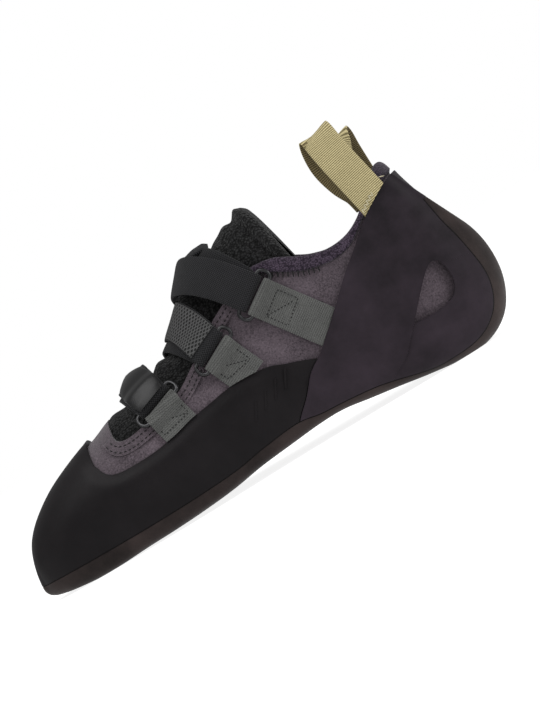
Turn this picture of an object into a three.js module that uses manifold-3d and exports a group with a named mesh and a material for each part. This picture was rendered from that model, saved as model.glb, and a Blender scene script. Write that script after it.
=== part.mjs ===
// A climbing shoe for the right foot, standing empty on its sole.
// Millimetres, +Z up. X runs from the toe tip (negative) to the heel (positive),
// and -Y is the medial side, the one with the three wire rings.
import * as THREE from "three";
import { mergeVertices } from "three/addons/utils/BufferGeometryUtils.js";
import Module from "manifold-3d";

const wasm = await Module();
wasm.setup();

// Driving sizes
const LENGTH = 252; // toe tip to back of heel, over the rubber
const BALL_WIDTH = 87; // at the ball, over the rubber
const INSTEP = 100; // floor to the bend of the ankle
const WALL = 1.8; // microfibre with its lining
const GAP = 0.3; // between pieces that meet
const SOLE = 7; // outsole under the ball, with the rand under it
const TOE_RUBBER = 2.4; // in front of the toes
const RAND = 2.2; // rubber on the sides
const BAND = 2.8; // the slanted tension rand stands out a little more
const WEB = 18; // width of straps and tabs
const WEB_THICK = 1.8; // one layer of webbing
const WIRE = 1.8; // thickness of ring wire
const RING_DEPTH = 6.4; // between the centres of a ring's two bars
const LOOP_WEB = 16; // width of the pull loops
const LOOP_THICK = 1.6;
const TONGUE = 4; // padded
const PADDING = 5; // of the collar
const FOOTBED = 3.5; // insole over the upper's lasting margin
const MARGIN = 13; // lasting margin turned in under the foot
const COARSE = 0.25; // flat facets of the large forms are joined within this
const FINE = 0.14; // and those of webbing and wire within this

const HALF_WIDTH = BALL_WIDTH / 2;

// The last, over the upper: a row for each section plane, from the toe tip to the top
// of the heel. A plane runs from a base point, on the sole or the back of the heel, to
// a top point. Columns baseX and topX are per cent of LENGTH from the toe tip, baseZ
// and topZ per cent of INSTEP from the floor. medial, lateral, ridge and keel are per
// cent of HALF_WIDTH: the half widths, and how far sideways the top and base points
// are. wide is the share of the height where the plane is widest. low, upMedial and
// upLateral are the powers that round the section. sole is the rubber's thickness at
// the base point in per cent of SOLE, and edge the power of its lower corner.
const LAST_COLUMNS = [
  "baseX", "baseZ", "topX", "topZ", "medial", "lateral", "wide", "ridge", "keel",
  "low", "upMedial", "upLateral", "sole", "edge",
];
const LAST_ROWS = [
  [1.9, 8.4, 1.9, 15.0, 42.5, -22, 0.45, -32, -32, 2.6, 2.2, 2.2, 54, 3],
  [2.3, 7.6, 2.4, 22.0, 53, -8, 0.42, -31, -31, 3.0, 2.2, 2.2, 71, 4],
  [3.9, 7.0, 3.7, 29.2, 64.5, 8, 0.4, -30, -27.5, 3.4, 2.2, 2.1, 80, 5],
  [6.7, 6.8, 6.3, 36.2, 75, 26.5, 0.38, -29, -23, 3.8, 2.2, 2.0, 90, 7],
  [10.7, 6.8, 10.3, 43.0, 83, 43.5, 0.36, -27.5, -18.5, 4.2, 2.2, 1.95, 101, 8],
  [15.5, 6.9, 15.1, 48.6, 89, 59.5, 0.34, -26.5, -14, 4.2, 2.15, 1.9, 101, 9],
  [21.0, 7.0, 20.6, 53.8, 93.5, 73.5, 0.32, -25.5, -9, 4.2, 2.1, 1.85, 93, 9],
  [26.6, 7.2, 26.2, 59.2, 95, 84.5, 0.3, -24, -6, 4.2, 2.0, 1.8, 91, 9],
  [32.5, 7.8, 32.1, 63.6, 93.5, 92.5, 0.28, -23, -2.5, 4.2, 1.95, 1.75, 90, 9],
  [38.9, 9.3, 37.7, 69.2, 87.5, 95, 0.27, -20.5, 1, 4.0, 1.9, 1.75, 93, 9],
  [45.2, 11.8, 43.1, 74.2, 79, 93.5, 0.26, -18.5, 3.5, 3.8, 1.85, 1.75, 96, 9],
  [51.6, 13.8, 48.4, 86.0, 72, 88, 0.26, -16, 4, 3.6, 1.85, 1.8, 105, 8],
  [57.5, 14.6, 53.6, 97.0, 67.5, 80.5, 0.26, -14, 3.5, 3.4, 1.9, 1.85, 99, 8],
  [63.1, 13.4, 59.1, 105.8, 66, 74.5, 0.27, -11.5, 2.5, 3.3, 1.95, 1.9, 80, 8],
  [68.7, 10.8, 64.3, 111.5, 66, 70.5, 0.28, -9, 1, 3.2, 2.1, 2.05, 74, 7],
  [74.2, 8.0, 69.0, 116.0, 66.5, 68, 0.3, -7, 0, 3.2, 2.25, 2.25, 63, 7],
  [79.8, 6.1, 73.0, 118, 67.5, 66.5, 0.32, -3.5, 0, 3.0, 2.4, 2.4, 70, 6],
  [85.3, 5.2, 76.2, 118, 66.5, 65, 0.34, -1, 0, 2.9, 2.5, 2.5, 82, 5],
  [90.4, 5.8, 79.0, 118, 63.5, 61, 0.37, 0, 0, 2.7, 2.5, 2.5, 86, 3.6],
  [94.1, 12.2, 81.0, 118, 59, 56.5, 0.42, 0, 0, 2.4, 2.5, 2.5, 107, 2.8],
  [96.3, 22.9, 82.5, 118, 54, 52.5, 0.5, 0, 0, 2.15, 2.6, 2.6, 114, 2.3],
  [96.7, 35, 83.9, 118, 50.5, 48.5, 0.6, 0, 0, 2.0, 2.8, 2.8, 119, 2.1],
  [95.9, 47, 85.1, 118, 47, 45.5, 0.68, 0, 0, 1.95, 3.0, 3.0, 114, 2.0],
  [94.0, 60, 86.3, 118, 43, 42, 0.74, 0, 0, 1.95, 3.2, 3.2, 88, 2.0],
  [92.5, 74, 87.5, 118, 37.5, 37, 0.78, 0, 0, 1.95, 3.3, 3.3, 60, 2.0],
  [91.5, 90, 88.7, 118, 30, 29, 0.8, 0, 0, 2.0, 3.3, 3.3, 34, 2.0],
  [91.0, 106, 89.9, 118, 17, 17, 0.8, 0, 0, 2.0, 3.0, 3.0, 31, 2.0],
];
const LAST_END = LAST_ROWS.length - 1;

// Side outlines, as [per cent of LENGTH, per cent of INSTEP]
const SOLE_LINE = [
  [-4, 9], [0.8, 9], [24, 8.5], [40, 9.5], [47.6, 12], [54.8, 13.6], [59.5, 11.7],
  [63.5, 11], [69.4, 9.5], [73.4, 7.5], [79.4, 3.6], [83.3, 2.5], [89.3, 3.5],
  [93.3, 8], [96, 16], [97.2, 28], [96.4, 45], [95.2, 58], [94.4, 70],
];
const TOE_RAND_TOP = [
  [20.1, 75], [20.1, 48], [20.7, 42], [21.8, 38], [23.8, 36], [27.8, 35.5],
  [31.7, 36], [35.7, 37.5], [39.7, 40], [43.7, 41.5], [47.6, 43], [51.6, 43],
  [55.6, 42], [58.7, 39], [61.5, 36.5], [63.9, 34],
];
const ARCH_SEAM = [[63.9, 34], [61.5, 30], [58.7, 22], [55.6, 14.5], [54, 8], [53, 0]];
const BAND_TOP = [
  [63.9, 34], [65.5, 36.5], [71.4, 49.5], [75.4, 59], [79.4, 67], [83.7, 76],
  [89.7, 85], [92.5, 88], [97, 92],
];
const BAND_REAR = [
  [73.4, 0], [73.4, 8], [77.4, 14], [79.4, 19], [81.7, 25], [85.3, 35], [88.1, 42],
  [89.7, 44.5], [90.9, 43.5], [94, 40], [104, 36],
];
const WINDOW = [
  [81.7, 25], [84.1, 24.3], [87.3, 24.5], [89.7, 26], [91, 29], [91.7, 34],
  [91.5, 40], [90.9, 43.5], [89.7, 44.5], [88.1, 42], [85.3, 35],
];
const COLLAR_TOP = [
  [59.5, 84.5], [65.5, 83], [68.3, 80], [71.4, 76], [75.4, 73.5], [79.4, 74.5],
  [82.9, 79], [86, 86.5], [89.3, 93], [91.3, 95.5], [94, 95.5], [98, 95],
];
const COLLAR_LOW = [
  [59.5, 81], [63.5, 78.5], [67.5, 73], [70.6, 69.5], [75.4, 67.5], [79.4, 69.5],
  [83.7, 77], [89.7, 86], [92.5, 89], [97, 93],
];
const THROAT_MEDIAL = [
  [25.4, 51.5], [25.8, 48.6], [27, 47.2], [30, 47.6], [38.5, 52], [42.9, 58], [49.6, 70], [55.6, 78], [60.3, 84.5],
];
const THROAT_LATERAL = [
  [25.4, 56], [25.8, 54.2], [27, 53.4], [30, 53.8], [38.5, 58], [42.9, 63],
  [49.6, 74.5], [55.6, 80.5], [60.3, 84.5],
];
const TONGUE_SIDE = [
  [22, 70], [22, 36], [30, 37], [38.5, 41], [44, 47], [52, 58], [60, 63], [68, 60],
  [70.6, 68], [69.4, 79.5], [68.3, 89.5], [66.7, 100], [65.9, 105], [64.6, 108.5],
  [63.4, 106.5], [62.5, 103.5], [57.9, 102.5], [56.5, 112], [40, 100],
];

// Each strap runs from its ring, over the ridge, to the lateral side. tabTop and
// tabFoot are the corners of the grey webbing tab in the side view. crossX is where
// the strap's middle crosses the ridge, backX where its free end would on the way back,
// and endX and endZ its far end on the lateral side, all in per cent as above. fold is
// how far the free end comes back and lift how far its tip stands up, in millimetres.
// over is the room for the strap in front, where it passes under this one, and tilt
// turns the tip's rear edge up, in degrees.
const STRAPS = [
  {
    name: "toe", tabTop: [[31.9, 47.8], [39.4, 54.8]], tabFoot: [[33.8, 33], [41.4, 36]],
    crossX: 32.4, backX: 33.2, endX: 33.5, endZ: 41, fold: 28, lift: 0.3, over: 0, tilt: 0,
    colour: 0x26262a,
  },
  {
    name: "mid", tabTop: [[45.8, 55], [52.2, 63.5]], tabFoot: [[48.4, 41], [56, 42]],
    crossX: 43.4, backX: 45.2, endX: 43.4, endZ: 44, fold: 25, lift: 0.2, over: 0, tilt: 0,
    colour: 0x232327,
  },
  {
    name: "top", tabTop: [[57.4, 66.5], [63.2, 76.5]], tabFoot: [[66.9, 33.5], [72, 46.5]],
    crossX: 52.8, backX: 50.6, endX: 52, endZ: 50, fold: 40, lift: 1.2, over: 3.15, tilt: 25,
    colour: 0x202024,
  },
];

const X = (share) => (share / 100) * LENGTH;
const Z = (share) => (share / 100) * INSTEP;
const Y = (share) => (share / 100) * HALF_WIDTH;
const sidePoint = ([x, z]) => new THREE.Vector2(X(x), Z(z));

// A row of the last between two rows of the table
function lastAt(u) {
  const clamped = Math.min(Math.max(u, 0), LAST_END);
  const i = Math.min(Math.floor(clamped), LAST_END - 1);
  const f = clamped - i;
  const rows = [-1, 0, 1, 2].map((k) => LAST_ROWS[Math.min(Math.max(i + k, 0), LAST_END)]);
  const row = {};
  LAST_COLUMNS.forEach((name, c) => {
    const [a, b, d, e] = rows.map((r) => r[c]);
    const bend = (2 * a - 5 * b + 4 * d - e) * f + (3 * b - 3 * d + e - a) * f * f;
    row[name] = b + 0.5 * f * (d - a + bend);
  });
  return row;
}

// Where the section plane of u stands, with its outline moved out by the rubber
function planeAt(u, base, top, toe) {
  const here = lastAt(u);
  const back = lastAt(u - 0.05);
  const next = lastAt(u + 0.05);
  const baseRun = new THREE.Vector2(X(next.baseX - back.baseX), Z(next.baseZ - back.baseZ));
  const topRun = new THREE.Vector2(X(next.topX - back.topX), Z(next.topZ - back.topZ));
  baseRun.normalize();
  topRun.normalize();
  const ahead = toe * Math.max(0, 1 - X(here.baseX) / 20) ** 1.5;
  return {
    row: here,
    foot: new THREE.Vector2(
      X(here.baseX) + baseRun.y * base - ahead, Z(here.baseZ) - baseRun.x * base),
    head: new THREE.Vector2(
      X(here.topX) - topRun.y * top - ahead, Z(here.topZ) + topRun.x * top),
  };
}

// A point of the last. v goes round the section: 0 at the keel, up the medial side to
// 0.5 at the ridge, and down the lateral side to 1.
function lastPoint(u, v) {
  const { row, foot, head } = planeAt(u, 0, 0, 0);
  return sectionPoint(row, foot, head, v, 0, row.low, row.wide);
}

function sectionPoint(row, foot, head, v, side, low, wide) {
  const lateral = v > 0.5;
  const turn = 2 * Math.PI * (lateral ? 1 - v : v);
  const half = lateral ? Y(row.lateral) + side : -Y(row.medial) - side;
  const upper = turn > Math.PI / 2;
  const middle = upper ? Y(row.ridge) : Y(row.keel);
  const power = 2 / (upper ? (lateral ? row.upLateral : row.upMedial) : low);
  const across = Math.max(0, Math.sin(turn)) ** power;
  const along = Math.abs(Math.cos(turn)) ** power;
  const height = upper ? wide + (1 - wide) * along : wide * (1 - along);
  return new THREE.Vector3(
    foot.x + (head.x - foot.x) * height,
    middle + (half - middle) * across,
    foot.y + (head.y - foot.y) * height,
  );
}

function lastNormal(u, v) {
  const du = 0.04;
  const dv = 0.004;
  const alongU = lastPoint(u + du, v).sub(lastPoint(u - du, v));
  const alongV = lastPoint(u, v + dv - (v + dv > 1 ? 1 : 0));
  alongV.sub(lastPoint(u, v - dv + (v - dv < 0 ? 1 : 0)));
  return alongU.cross(alongV).normalize();
}

// A point this far outside the last, or inside it when out is negative
const offsetPoint = (u, v, out) =>
  lastPoint(u, v).add(lastNormal(u, v).multiplyScalar(out));

// A point of the rubber's outside, with square lower corners
function rubberPoint(u, v, side) {
  const bare = lastAt(u);
  const sole = (bare.sole / 100) * SOLE;
  const { row, foot, head } = planeAt(u, sole, side, TOE_RUBBER);
  const before = planeAt(u, 0, 0, 0);
  const tall = before.head.distanceTo(before.foot);
  const wide = (row.wide * tall + sole) / (tall + sole + side);
  return sectionPoint(row, foot, head, v, side, row.edge, wide);
}

// Closed solid through rings of points, each ring an array of the same length
function ringSolid(rings, closed = false) {
  const count = rings[0].length;
  const points = rings.flat();
  const index = [];
  const pairs = closed ? rings.length : rings.length - 1;
  for (let i = 0; i < pairs; i += 1) {
    const next = (i + 1) % rings.length;
    for (let j = 0; j < count; j += 1) {
      const a = i * count + j;
      const b = i * count + ((j + 1) % count);
      const c = next * count + j;
      const d = next * count + ((j + 1) % count);
      index.push(a, b, d, a, d, c);
    }
  }
  if (!closed) {
    const last = (rings.length - 1) * count;
    const middle = (ring) => ring
      .reduce((sum, p) => sum.add(p), new THREE.Vector3())
      .multiplyScalar(1 / count);
    points.push(middle(rings[0]), middle(rings[rings.length - 1]));
    for (let j = 0; j < count; j += 1) {
      const k = (j + 1) % count;
      index.push(points.length - 2, k, j);
      index.push(points.length - 1, last + j, last + k);
    }
  }
  const geometry = new THREE.BufferGeometry();
  geometry.setAttribute("position", new THREE.Float32BufferAttribute(
    points.flatMap((p) => [p.x, p.y, p.z]), 3));
  geometry.setIndex(index);
  return toSolid(geometry);
}

function toSolid(source) {
  const bare = source.clone();
  for (const name of Object.keys(bare.attributes)) {
    if (name !== "position") {
      bare.deleteAttribute(name);
    }
  }
  const merged = mergeVertices(bare, 1e-4);
  const mesh = new wasm.Mesh({
    numProp: 3,
    vertProperties: new Float32Array(merged.attributes.position.array),
    triVerts: new Uint32Array(merged.index.array),
  });
  mesh.merge();
  const solid = new wasm.Manifold(mesh);
  return solid.volume() < 0 ? flipped(merged) : solid;
}

function flipped(geometry) {
  const array = Array.from(geometry.index.array);
  for (let i = 0; i < array.length; i += 3) {
    [array[i], array[i + 1]] = [array[i + 1], array[i]];
  }
  const mesh = new wasm.Mesh({
    numProp: 3,
    vertProperties: new Float32Array(geometry.attributes.position.array),
    triVerts: new Uint32Array(array),
  });
  return new wasm.Manifold(mesh);
}

function toGeometry(solid, tolerance) {
  const mesh = solid.simplify(tolerance).getMesh();
  const geometry = new THREE.BufferGeometry();
  geometry.setAttribute("position", new THREE.Float32BufferAttribute(
    Float32Array.from(mesh.vertProperties), 3));
  geometry.setIndex(Array.from(mesh.triVerts));
  return mergeVertices(geometry, 1e-4);
}

// Rings along the last, closer where it turns quickly
const STATIONS = [];
for (let i = 0; i < LAST_END; i += 1) {
  STATIONS.push(i);
  if (i > 3 && i < 12) {
    STATIONS.push(i + 0.5);
  }
}
STATIONS.push(LAST_END);
const AROUND = 24;
const ringOf = (pointAt) => Array.from({ length: AROUND }, (_, j) => pointAt(j / AROUND));
const lastSolid = (out) => ringSolid(
  STATIONS.map((u) => ringOf((v) => offsetPoint(u, v, out))));
const rubberSolid = (side) => ringSolid(
  STATIONS.map((u) => ringOf((v) => rubberPoint(u, v, side))));

// A side outline through its points, either straight or curved
const curve = (table, steps = 2) =>
  new THREE.SplineCurve(table.map(sidePoint)).getPoints((table.length - 1) * steps);

// Everything between two places across the shoe whose side view is this outline
function prism(outline, fromY = -80, toY = 80) {
  const geometry = new THREE.ExtrudeGeometry(new THREE.Shape(outline), {
    depth: toY - fromY, bevelEnabled: false, steps: 1,
  });
  geometry.rotateX(Math.PI / 2);
  geometry.translate(0, toY, 0);
  return toSolid(geometry);
}

// An outline pushed out by a distance, for a gap beside it
function grown(outline, distance) {
  const closed = outline.slice();
  if (closed[0].distanceTo(closed[closed.length - 1]) < 1e-6) {
    closed.pop();
  }
  const area = THREE.ShapeUtils.area(closed);
  return closed.map((p, i) => {
    const a = closed[(i + closed.length - 1) % closed.length];
    const b = closed[(i + 1) % closed.length];
    const before = p.clone().sub(a).normalize();
    const after = b.clone().sub(p).normalize();
    const bisector = before.add(after).normalize();
    const out = new THREE.Vector2(bisector.y, -bisector.x);
    out.multiplyScalar(distance * Math.sign(area));
    return p.clone().add(out);
  });
}

const corner = (x, z) => new THREE.Vector2(X(x), Z(z));
const soleSide = [
  ...curve(SOLE_LINE), corner(112, 74), corner(112, -20), corner(-8, -20), corner(-8, 9),
];
const toeRandSide = [
  corner(-8, 75), ...curve(TOE_RAND_TOP), ...curve(ARCH_SEAM).slice(1), corner(53, -20),
  corner(-8, -20),
];
const bandSide = [
  ...curve(BAND_TOP), corner(108, 92), corner(108, 36), ...curve(BAND_REAR).reverse(),
  ...curve(ARCH_SEAM).reverse().slice(0, -1),
];
const windowSide = curve([...WINDOW, WINDOW[0]]).slice(0, -1);
const cupSide = [
  ...curve(BAND_REAR), corner(108, 36), corner(108, -20), corner(73.4, -20),
];

// Where a point of the side view lies on the last: its section and its turn
function findOnLast(x, z, lateral) {
  const aside = (u) => {
    const { foot, head } = planeAt(u, 0, 0, 0);
    return (head.x - foot.x) * (z - foot.y) - (head.y - foot.y) * (x - foot.x);
  };
  let low = 0;
  let high = LAST_END;
  for (let i = 0; i < 40; i += 1) {
    const middle = (low + high) / 2;
    if (aside(middle) > 0) {
      high = middle;
    } else {
      low = middle;
    }
  }
  const { row, foot, head } = planeAt(low, 0, 0, 0);
  const axis = head.clone().sub(foot);
  const height = new THREE.Vector2(x, z).sub(foot).dot(axis) / axis.lengthSq();
  const upper = height > row.wide;
  const power = upper ? (lateral ? row.upLateral : row.upMedial) : row.low;
  const rest = upper ? (height - row.wide) / (1 - row.wide) : 1 - height / row.wide;
  const cosine = Math.min(Math.max(rest, 0), 1) ** (power / 2);
  const turn = upper ? Math.PI - Math.acos(cosine) : Math.acos(cosine);
  const v = turn / (2 * Math.PI);
  return { u: low, v: lateral ? 1 - v : v };
}

// A strip of rectangular section. Each place has a middle, a direction across the
// strip, a direction through it, its half width and its thickness.
function strip(places) {
  return ringSolid(places.map(({ at, wide, through, half, thick }) => {
    const w = wide.clone().multiplyScalar(half);
    const t = through.clone().multiplyScalar(thick / 2);
    return [
      at.clone().add(w).add(t), at.clone().sub(w).add(t),
      at.clone().sub(w).sub(t), at.clone().add(w).sub(t),
    ];
  }));
}

// Outer forms
const lastOutside = lastSolid(0);
const lastGap = lastSolid(GAP);
const lastInside = lastSolid(-WALL);
const lining = lastSolid(-WALL - GAP);
const ground = prism([corner(-20, 0), corner(130, 0), corner(130, -40), corner(-20, -40)]);
const rubberBody = rubberSolid(RAND).subtract(ground);
const bandBody = rubberSolid(BAND).subtract(ground);

// Outsole, with the strip that runs up the back of the heel
const outsole = rubberBody.intersect(prism(soleSide)).subtract(lastGap);

// Rubber rands above it
const soleCut = prism(grown(soleSide, GAP));
const toeRand = rubberBody.intersect(prism(toeRandSide)).subtract(soleCut)
  .subtract(lastGap);
const band = bandBody.intersect(prism(bandSide))
  .subtract(prism(grown(toeRandSide, GAP)))
  .subtract(soleCut)
  .subtract(prism(windowSide))
  .subtract(lastGap);
const heelCup = rubberBody.intersect(prism(cupSide))
  .subtract(prism(grown(bandSide, GAP)))
  .subtract(soleCut)
  .subtract(prism(windowSide))
  .subtract(lastGap);

// The underside's outline in plan, drawn in by a margin
function planPrism(inset, fromZ, toZ) {
  const medial = [];
  const lateral = [];
  for (let u = 2.5; u <= 18; u += 1) {
    const row = lastAt(u);
    medial.push(new THREE.Vector2(X(row.baseX), -Y(row.medial) + inset));
    lateral.push(new THREE.Vector2(X(row.baseX), Y(row.lateral) - inset));
  }
  const geometry = new THREE.ExtrudeGeometry(
    new THREE.Shape([...medial, ...lateral.reverse()]),
    { depth: toZ - fromZ, bevelEnabled: false, steps: 1 },
  );
  geometry.translate(0, 0, fromZ);
  return toSolid(geometry);
}

// Upper: one hollow wall, open at the collar, the throat and underneath
const above = (table) => [...curve(table), corner(97, 140), corner(20, 140)];
const collarCut = prism([
  ...curve(COLLAR_LOW), corner(112, 93), corner(112, 140), corner(59.5, 140),
]);
const throatCut = (table, fromY, toY) => prism([
  ...curve(table), corner(61, 140), corner(25.4, 140),
], fromY, toY);
const RIDGE_Y = Y(-22);
const upper = lastOutside.subtract(lastInside)
  .subtract(collarCut)
  .subtract(throatCut(THROAT_MEDIAL, -80, RIDGE_Y))
  .subtract(throatCut(THROAT_LATERAL, RIDGE_Y - 1, 80))
  .subtract(planPrism(MARGIN, -30, Z(22)));

// Insole: a footbed on the lasting margin, and a plug in the opening between
const bedTop = [];
for (let u = 1.5; u <= 19; u += 1) {
  const row = lastAt(u);
  bedTop.push(new THREE.Vector2(X(row.baseX), Z(row.baseZ) + WALL + GAP + FOOTBED));
}
const bedSide = prism([
  corner(-5, 14), ...bedTop, corner(105, 18), corner(105, -20), corner(-5, -20),
]);
const insole = lining.intersect(bedSide)
  .add(lastOutside.intersect(bedSide).intersect(planPrism(MARGIN + GAP, -30, Z(21))));

// Tongue, inside the upper and standing above the collar
const tongueSide = curve([...TONGUE_SIDE, TONGUE_SIDE[0]], 2).slice(0, -1);
const tongue = lining.subtract(lastSolid(-WALL - GAP - TONGUE))
  .intersect(prism(tongueSide));

// Padded collar on the upper's edge, thinner where the tongue passes inside it
const collarSide = [
  ...curve(COLLAR_TOP), ...curve(COLLAR_LOW.map(([x, z]) => [x, z + 0.3])).reverse(),
];
const collar = lastSolid(1).subtract(lastSolid(1 - PADDING))
  .intersect(prism(collarSide))
  .subtract(lastInside.intersect(prism(grown(tongueSide, 1))));

// The room that the collar and the upper's edge under it need, with the gap round them
const edgeRoom = lastSolid(1 + GAP).subtract(lastSolid(1 - PADDING - GAP))
  .intersect(prism(grown(collarSide, GAP)))
  .add(lastGap.subtract(lining).subtract(collarCut));

// Rings with the webbing tabs that hold them, and the straps through them
function station({ tabTop }) {
  const places = tabTop.map(([x, z]) => findOnLast(X(x), Z(z), false));
  const ends = places.map(({ u, v }) => offsetPoint(u, v, 0));
  const middle = ends[0].clone().add(ends[1]).multiplyScalar(0.5);
  const at = findOnLast(middle.x, middle.z, false);
  const surface = offsetPoint(at.u, at.v, 0);
  const along = ends[1].clone().sub(ends[0]).normalize();
  const out = lastNormal(at.u, at.v);
  out.sub(along.clone().multiplyScalar(out.dot(along))).normalize();
  const up = along.clone().cross(out).normalize();
  if (up.z < 0) {
    up.negate();
  }
  return { at, surface, along, out, up };
}

const BAR_HEIGHT = GAP + WEB_THICK + GAP + WIRE / 2 + 0.2;
const BAR_UP = -2.8;
const place = ({ surface, along, out, up }, a, b, n) => surface.clone()
  .add(along.clone().multiplyScalar(a))
  .add(up.clone().multiplyScalar(b))
  .add(out.clone().multiplyScalar(n));

function ringOn(here) {
  const half = WEB / 2 + 0.5;
  const bend = RING_DEPTH / 2;
  const side = bend * 0.7;
  const path = [];
  for (let i = 0; i <= 8; i += 1) {
    const angle = (Math.PI * i) / 8;
    path.push([half + side * Math.sin(angle), bend * (1 - Math.cos(angle))]);
  }
  for (let i = 0; i <= 8; i += 1) {
    const angle = (Math.PI * i) / 8;
    path.push([-half - side * Math.sin(angle), bend * (1 + Math.cos(angle))]);
  }
  const rings = path.map(([a, b], i) => {
    const [a0, b0] = path[(i + path.length - 1) % path.length];
    const [a1, b1] = path[(i + 1) % path.length];
    const run = new THREE.Vector2(a1 - a0, b1 - b0).normalize();
    return Array.from({ length: 8 }, (_, j) => {
      const angle = (2 * Math.PI * j) / 8;
      const out = (WIRE / 2) * Math.cos(angle);
      const high = (WIRE / 2) * Math.sin(angle);
      return place(here, a + run.y * out, BAR_UP + b - run.x * out, BAR_HEIGHT + high);
    });
  });
  return ringSolid(rings, true);
}

// Webbing wrapped round a bar: a short tube as wide as the webbing
function sleeve(here, b, n) {
  const inside = WIRE / 2 + GAP;
  const outside = inside + WEB_THICK * 0.9;
  const round = (radius, steps) => Array.from({ length: steps }, (_, j) => {
    const angle = (2 * Math.PI * j) / steps;
    return [radius * Math.cos(angle), radius * Math.sin(angle)];
  });
  const tube = (radius, length) => ringSolid([-length / 2, length / 2].map(
    (a) => round(radius, 14).map(([p, q]) => place(here, a, b + p, n + q))));
  return tube(outside, WEB).subtract(tube(inside, WEB + 4));
}

const tabOutside = lastSolid(GAP + WEB_THICK);
function tabOn(strap, here) {
  const lean = ([x, z], [fx, fz]) => {
    const top = corner(x, z);
    const foot = corner(fx, fz);
    return top.clone().sub(foot).normalize().multiplyScalar(BAR_UP).add(top);
  };
  const outline = [
    lean(strap.tabTop[0], strap.tabFoot[0]), lean(strap.tabTop[1], strap.tabFoot[1]),
    sidePoint(strap.tabFoot[1]), sidePoint(strap.tabFoot[0]),
  ];
  return tabOutside.intersect(prism(outline, -80, RIDGE_Y))
    .add(sleeve(here, BAR_UP, BAR_HEIGHT))
    .subtract(lastGap)
    .subtract(prism(grown(toeRandSide, GAP)))
    .subtract(prism(grown(bandSide, GAP)));
}

// The strap's way over the foot in steps of about 4 mm, from the ring to its far end
function strapWay(strap, here, crossX) {
  const far = findOnLast(X(strap.endX), Z(strap.endZ), true);
  let ridge = 0;
  while (planeAt(ridge, 0, 0, 0).head.x < X(crossX)) {
    ridge += 0.02;
  }
  const start = here.at;
  const middleShare = (0.5 - start.v) / (far.v - start.v);
  const pull = (ridge - start.u - (far.u - start.u) * middleShare)
    / (middleShare * (1 - middleShare));
  const way = [];
  const steps = 34;
  for (let i = 0; i <= steps; i += 1) {
    const s = i / steps;
    const u = start.u + (far.u - start.u) * s + pull * s * (1 - s);
    way.push({ u, v: start.v + (far.v - start.v) * s });
  }
  return way;
}

const LAYER = GAP + WEB_THICK / 2;
const RISE = 0.6; // a flat strap stands off a curved wall
function strapOn(strap, here) {
  const way = strapWay(strap, here, strap.crossX);
  const wayBack = strapWay(strap, here, strap.backX);
  const bar = place(here, 0, BAR_UP + RING_DEPTH, BAR_HEIGHT);
  const bend = WIRE / 2 + GAP + WEB_THICK / 2;
  const spot = (out) => ({ u, v }, i, all) => {
    const at = offsetPoint(u, v, out(i));
    const other = all[Math.min(i + 1, all.length - 1)];
    const before = all[Math.max(i - 1, 0)];
    const run = offsetPoint(other.u, other.v, 0).sub(offsetPoint(before.u, before.v, 0));
    const through = lastNormal(u, v);
    const wide = run.clone().cross(through).normalize();
    return { at, through, wide, half: WEB / 2, thick: WEB_THICK };
  };
  const lower = way.map(spot(() => LAYER + RISE));
  const clear = lower.findIndex(({ at }) => {
    const away = at.clone().sub(bar);
    return away.dot(here.up) > 5 || at.y > RING_DEPTH;
  });
  const flip = lower[clear].wide.dot(here.along) < 0 ? -1 : 1;
  const wide = here.along.clone().multiplyScalar(flip);
  const fold = [];
  for (let i = 0; i <= 8; i += 1) {
    const angle = (Math.PI * i) / 8;
    const through = here.up.clone().multiplyScalar(Math.sin(angle))
      .add(here.out.clone().multiplyScalar(Math.cos(angle)));
    const at = bar.clone()
      .add(here.up.clone().multiplyScalar(-bend * Math.sin(angle)))
      .add(here.out.clone().multiplyScalar(-bend * Math.cos(angle)));
    fold.push({ at, through, wide, half: WEB / 2, thick: WEB_THICK });
  }
  let length = 0;
  let end = clear;
  while (length < strap.fold && end < way.length - 1) {
    const [from, to] = [wayBack[end], wayBack[end + 1]];
    length += lastPoint(from.u, from.v).distanceTo(lastPoint(to.u, to.v));
    end += 1;
  }
  const upperOut = (i) => LAYER + RISE + WEB_THICK + GAP
    + Math.max(strap.over, 2 - (i - clear) * 0.8)
    + strap.lift * Math.max(0, (i - clear) / (end - clear)) ** 1.5;
  const upperAll = wayBack.map(spot(upperOut)).map((f, i) => {
    const share = Math.max(0, (i - clear) / (end - clear)) ** 4;
    const angle = THREE.MathUtils.degToRad(strap.tilt) * share * Math.sign(f.wide.x);
    return { ...f,
      wide: f.wide.clone().multiplyScalar(Math.cos(angle))
        .add(f.through.clone().multiplyScalar(Math.sin(angle))),
      through: f.through.clone().multiplyScalar(Math.cos(angle))
        .sub(f.wide.clone().multiplyScalar(Math.sin(angle))),
    };
  });
  const back = upperAll.slice(clear, end + 1).map((f) => ({
    ...f, through: f.through.clone().negate(),
  }));
  const places = [...lower.slice(clear).reverse(), ...fold, ...back];
  return strip(places).subtract(edgeRoom);
}

const parts = {};
const add = (name, solid, colour, roughness, metalness = 0, tolerance = FINE) => {
  const mesh = new THREE.Mesh(
    toGeometry(solid, tolerance),
    new THREE.MeshStandardMaterial({ color: colour, roughness, metalness }),
  );
  mesh.name = name;
  parts[name] = mesh;
};

add("outsole", outsole, 0x2b2422, 0.55, 0, COARSE);
add("toe_rand", toeRand, 0x252228, 0.5, 0, COARSE);
add("tension_rand", band, 0x252228, 0.5, 0, COARSE);
add("heel_cup", heelCup, 0x252228, 0.5, 0, COARSE);
add("upper", upper, 0x5b5560, 0.9, 0, COARSE);
add("insole", insole, 0x3a3a3c, 0.9, 0, COARSE);
add("tongue", tongue, 0x232327, 0.95, 0, COARSE);
add("collar", collar, 0x3a3040, 0.95, 0, COARSE);

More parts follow.
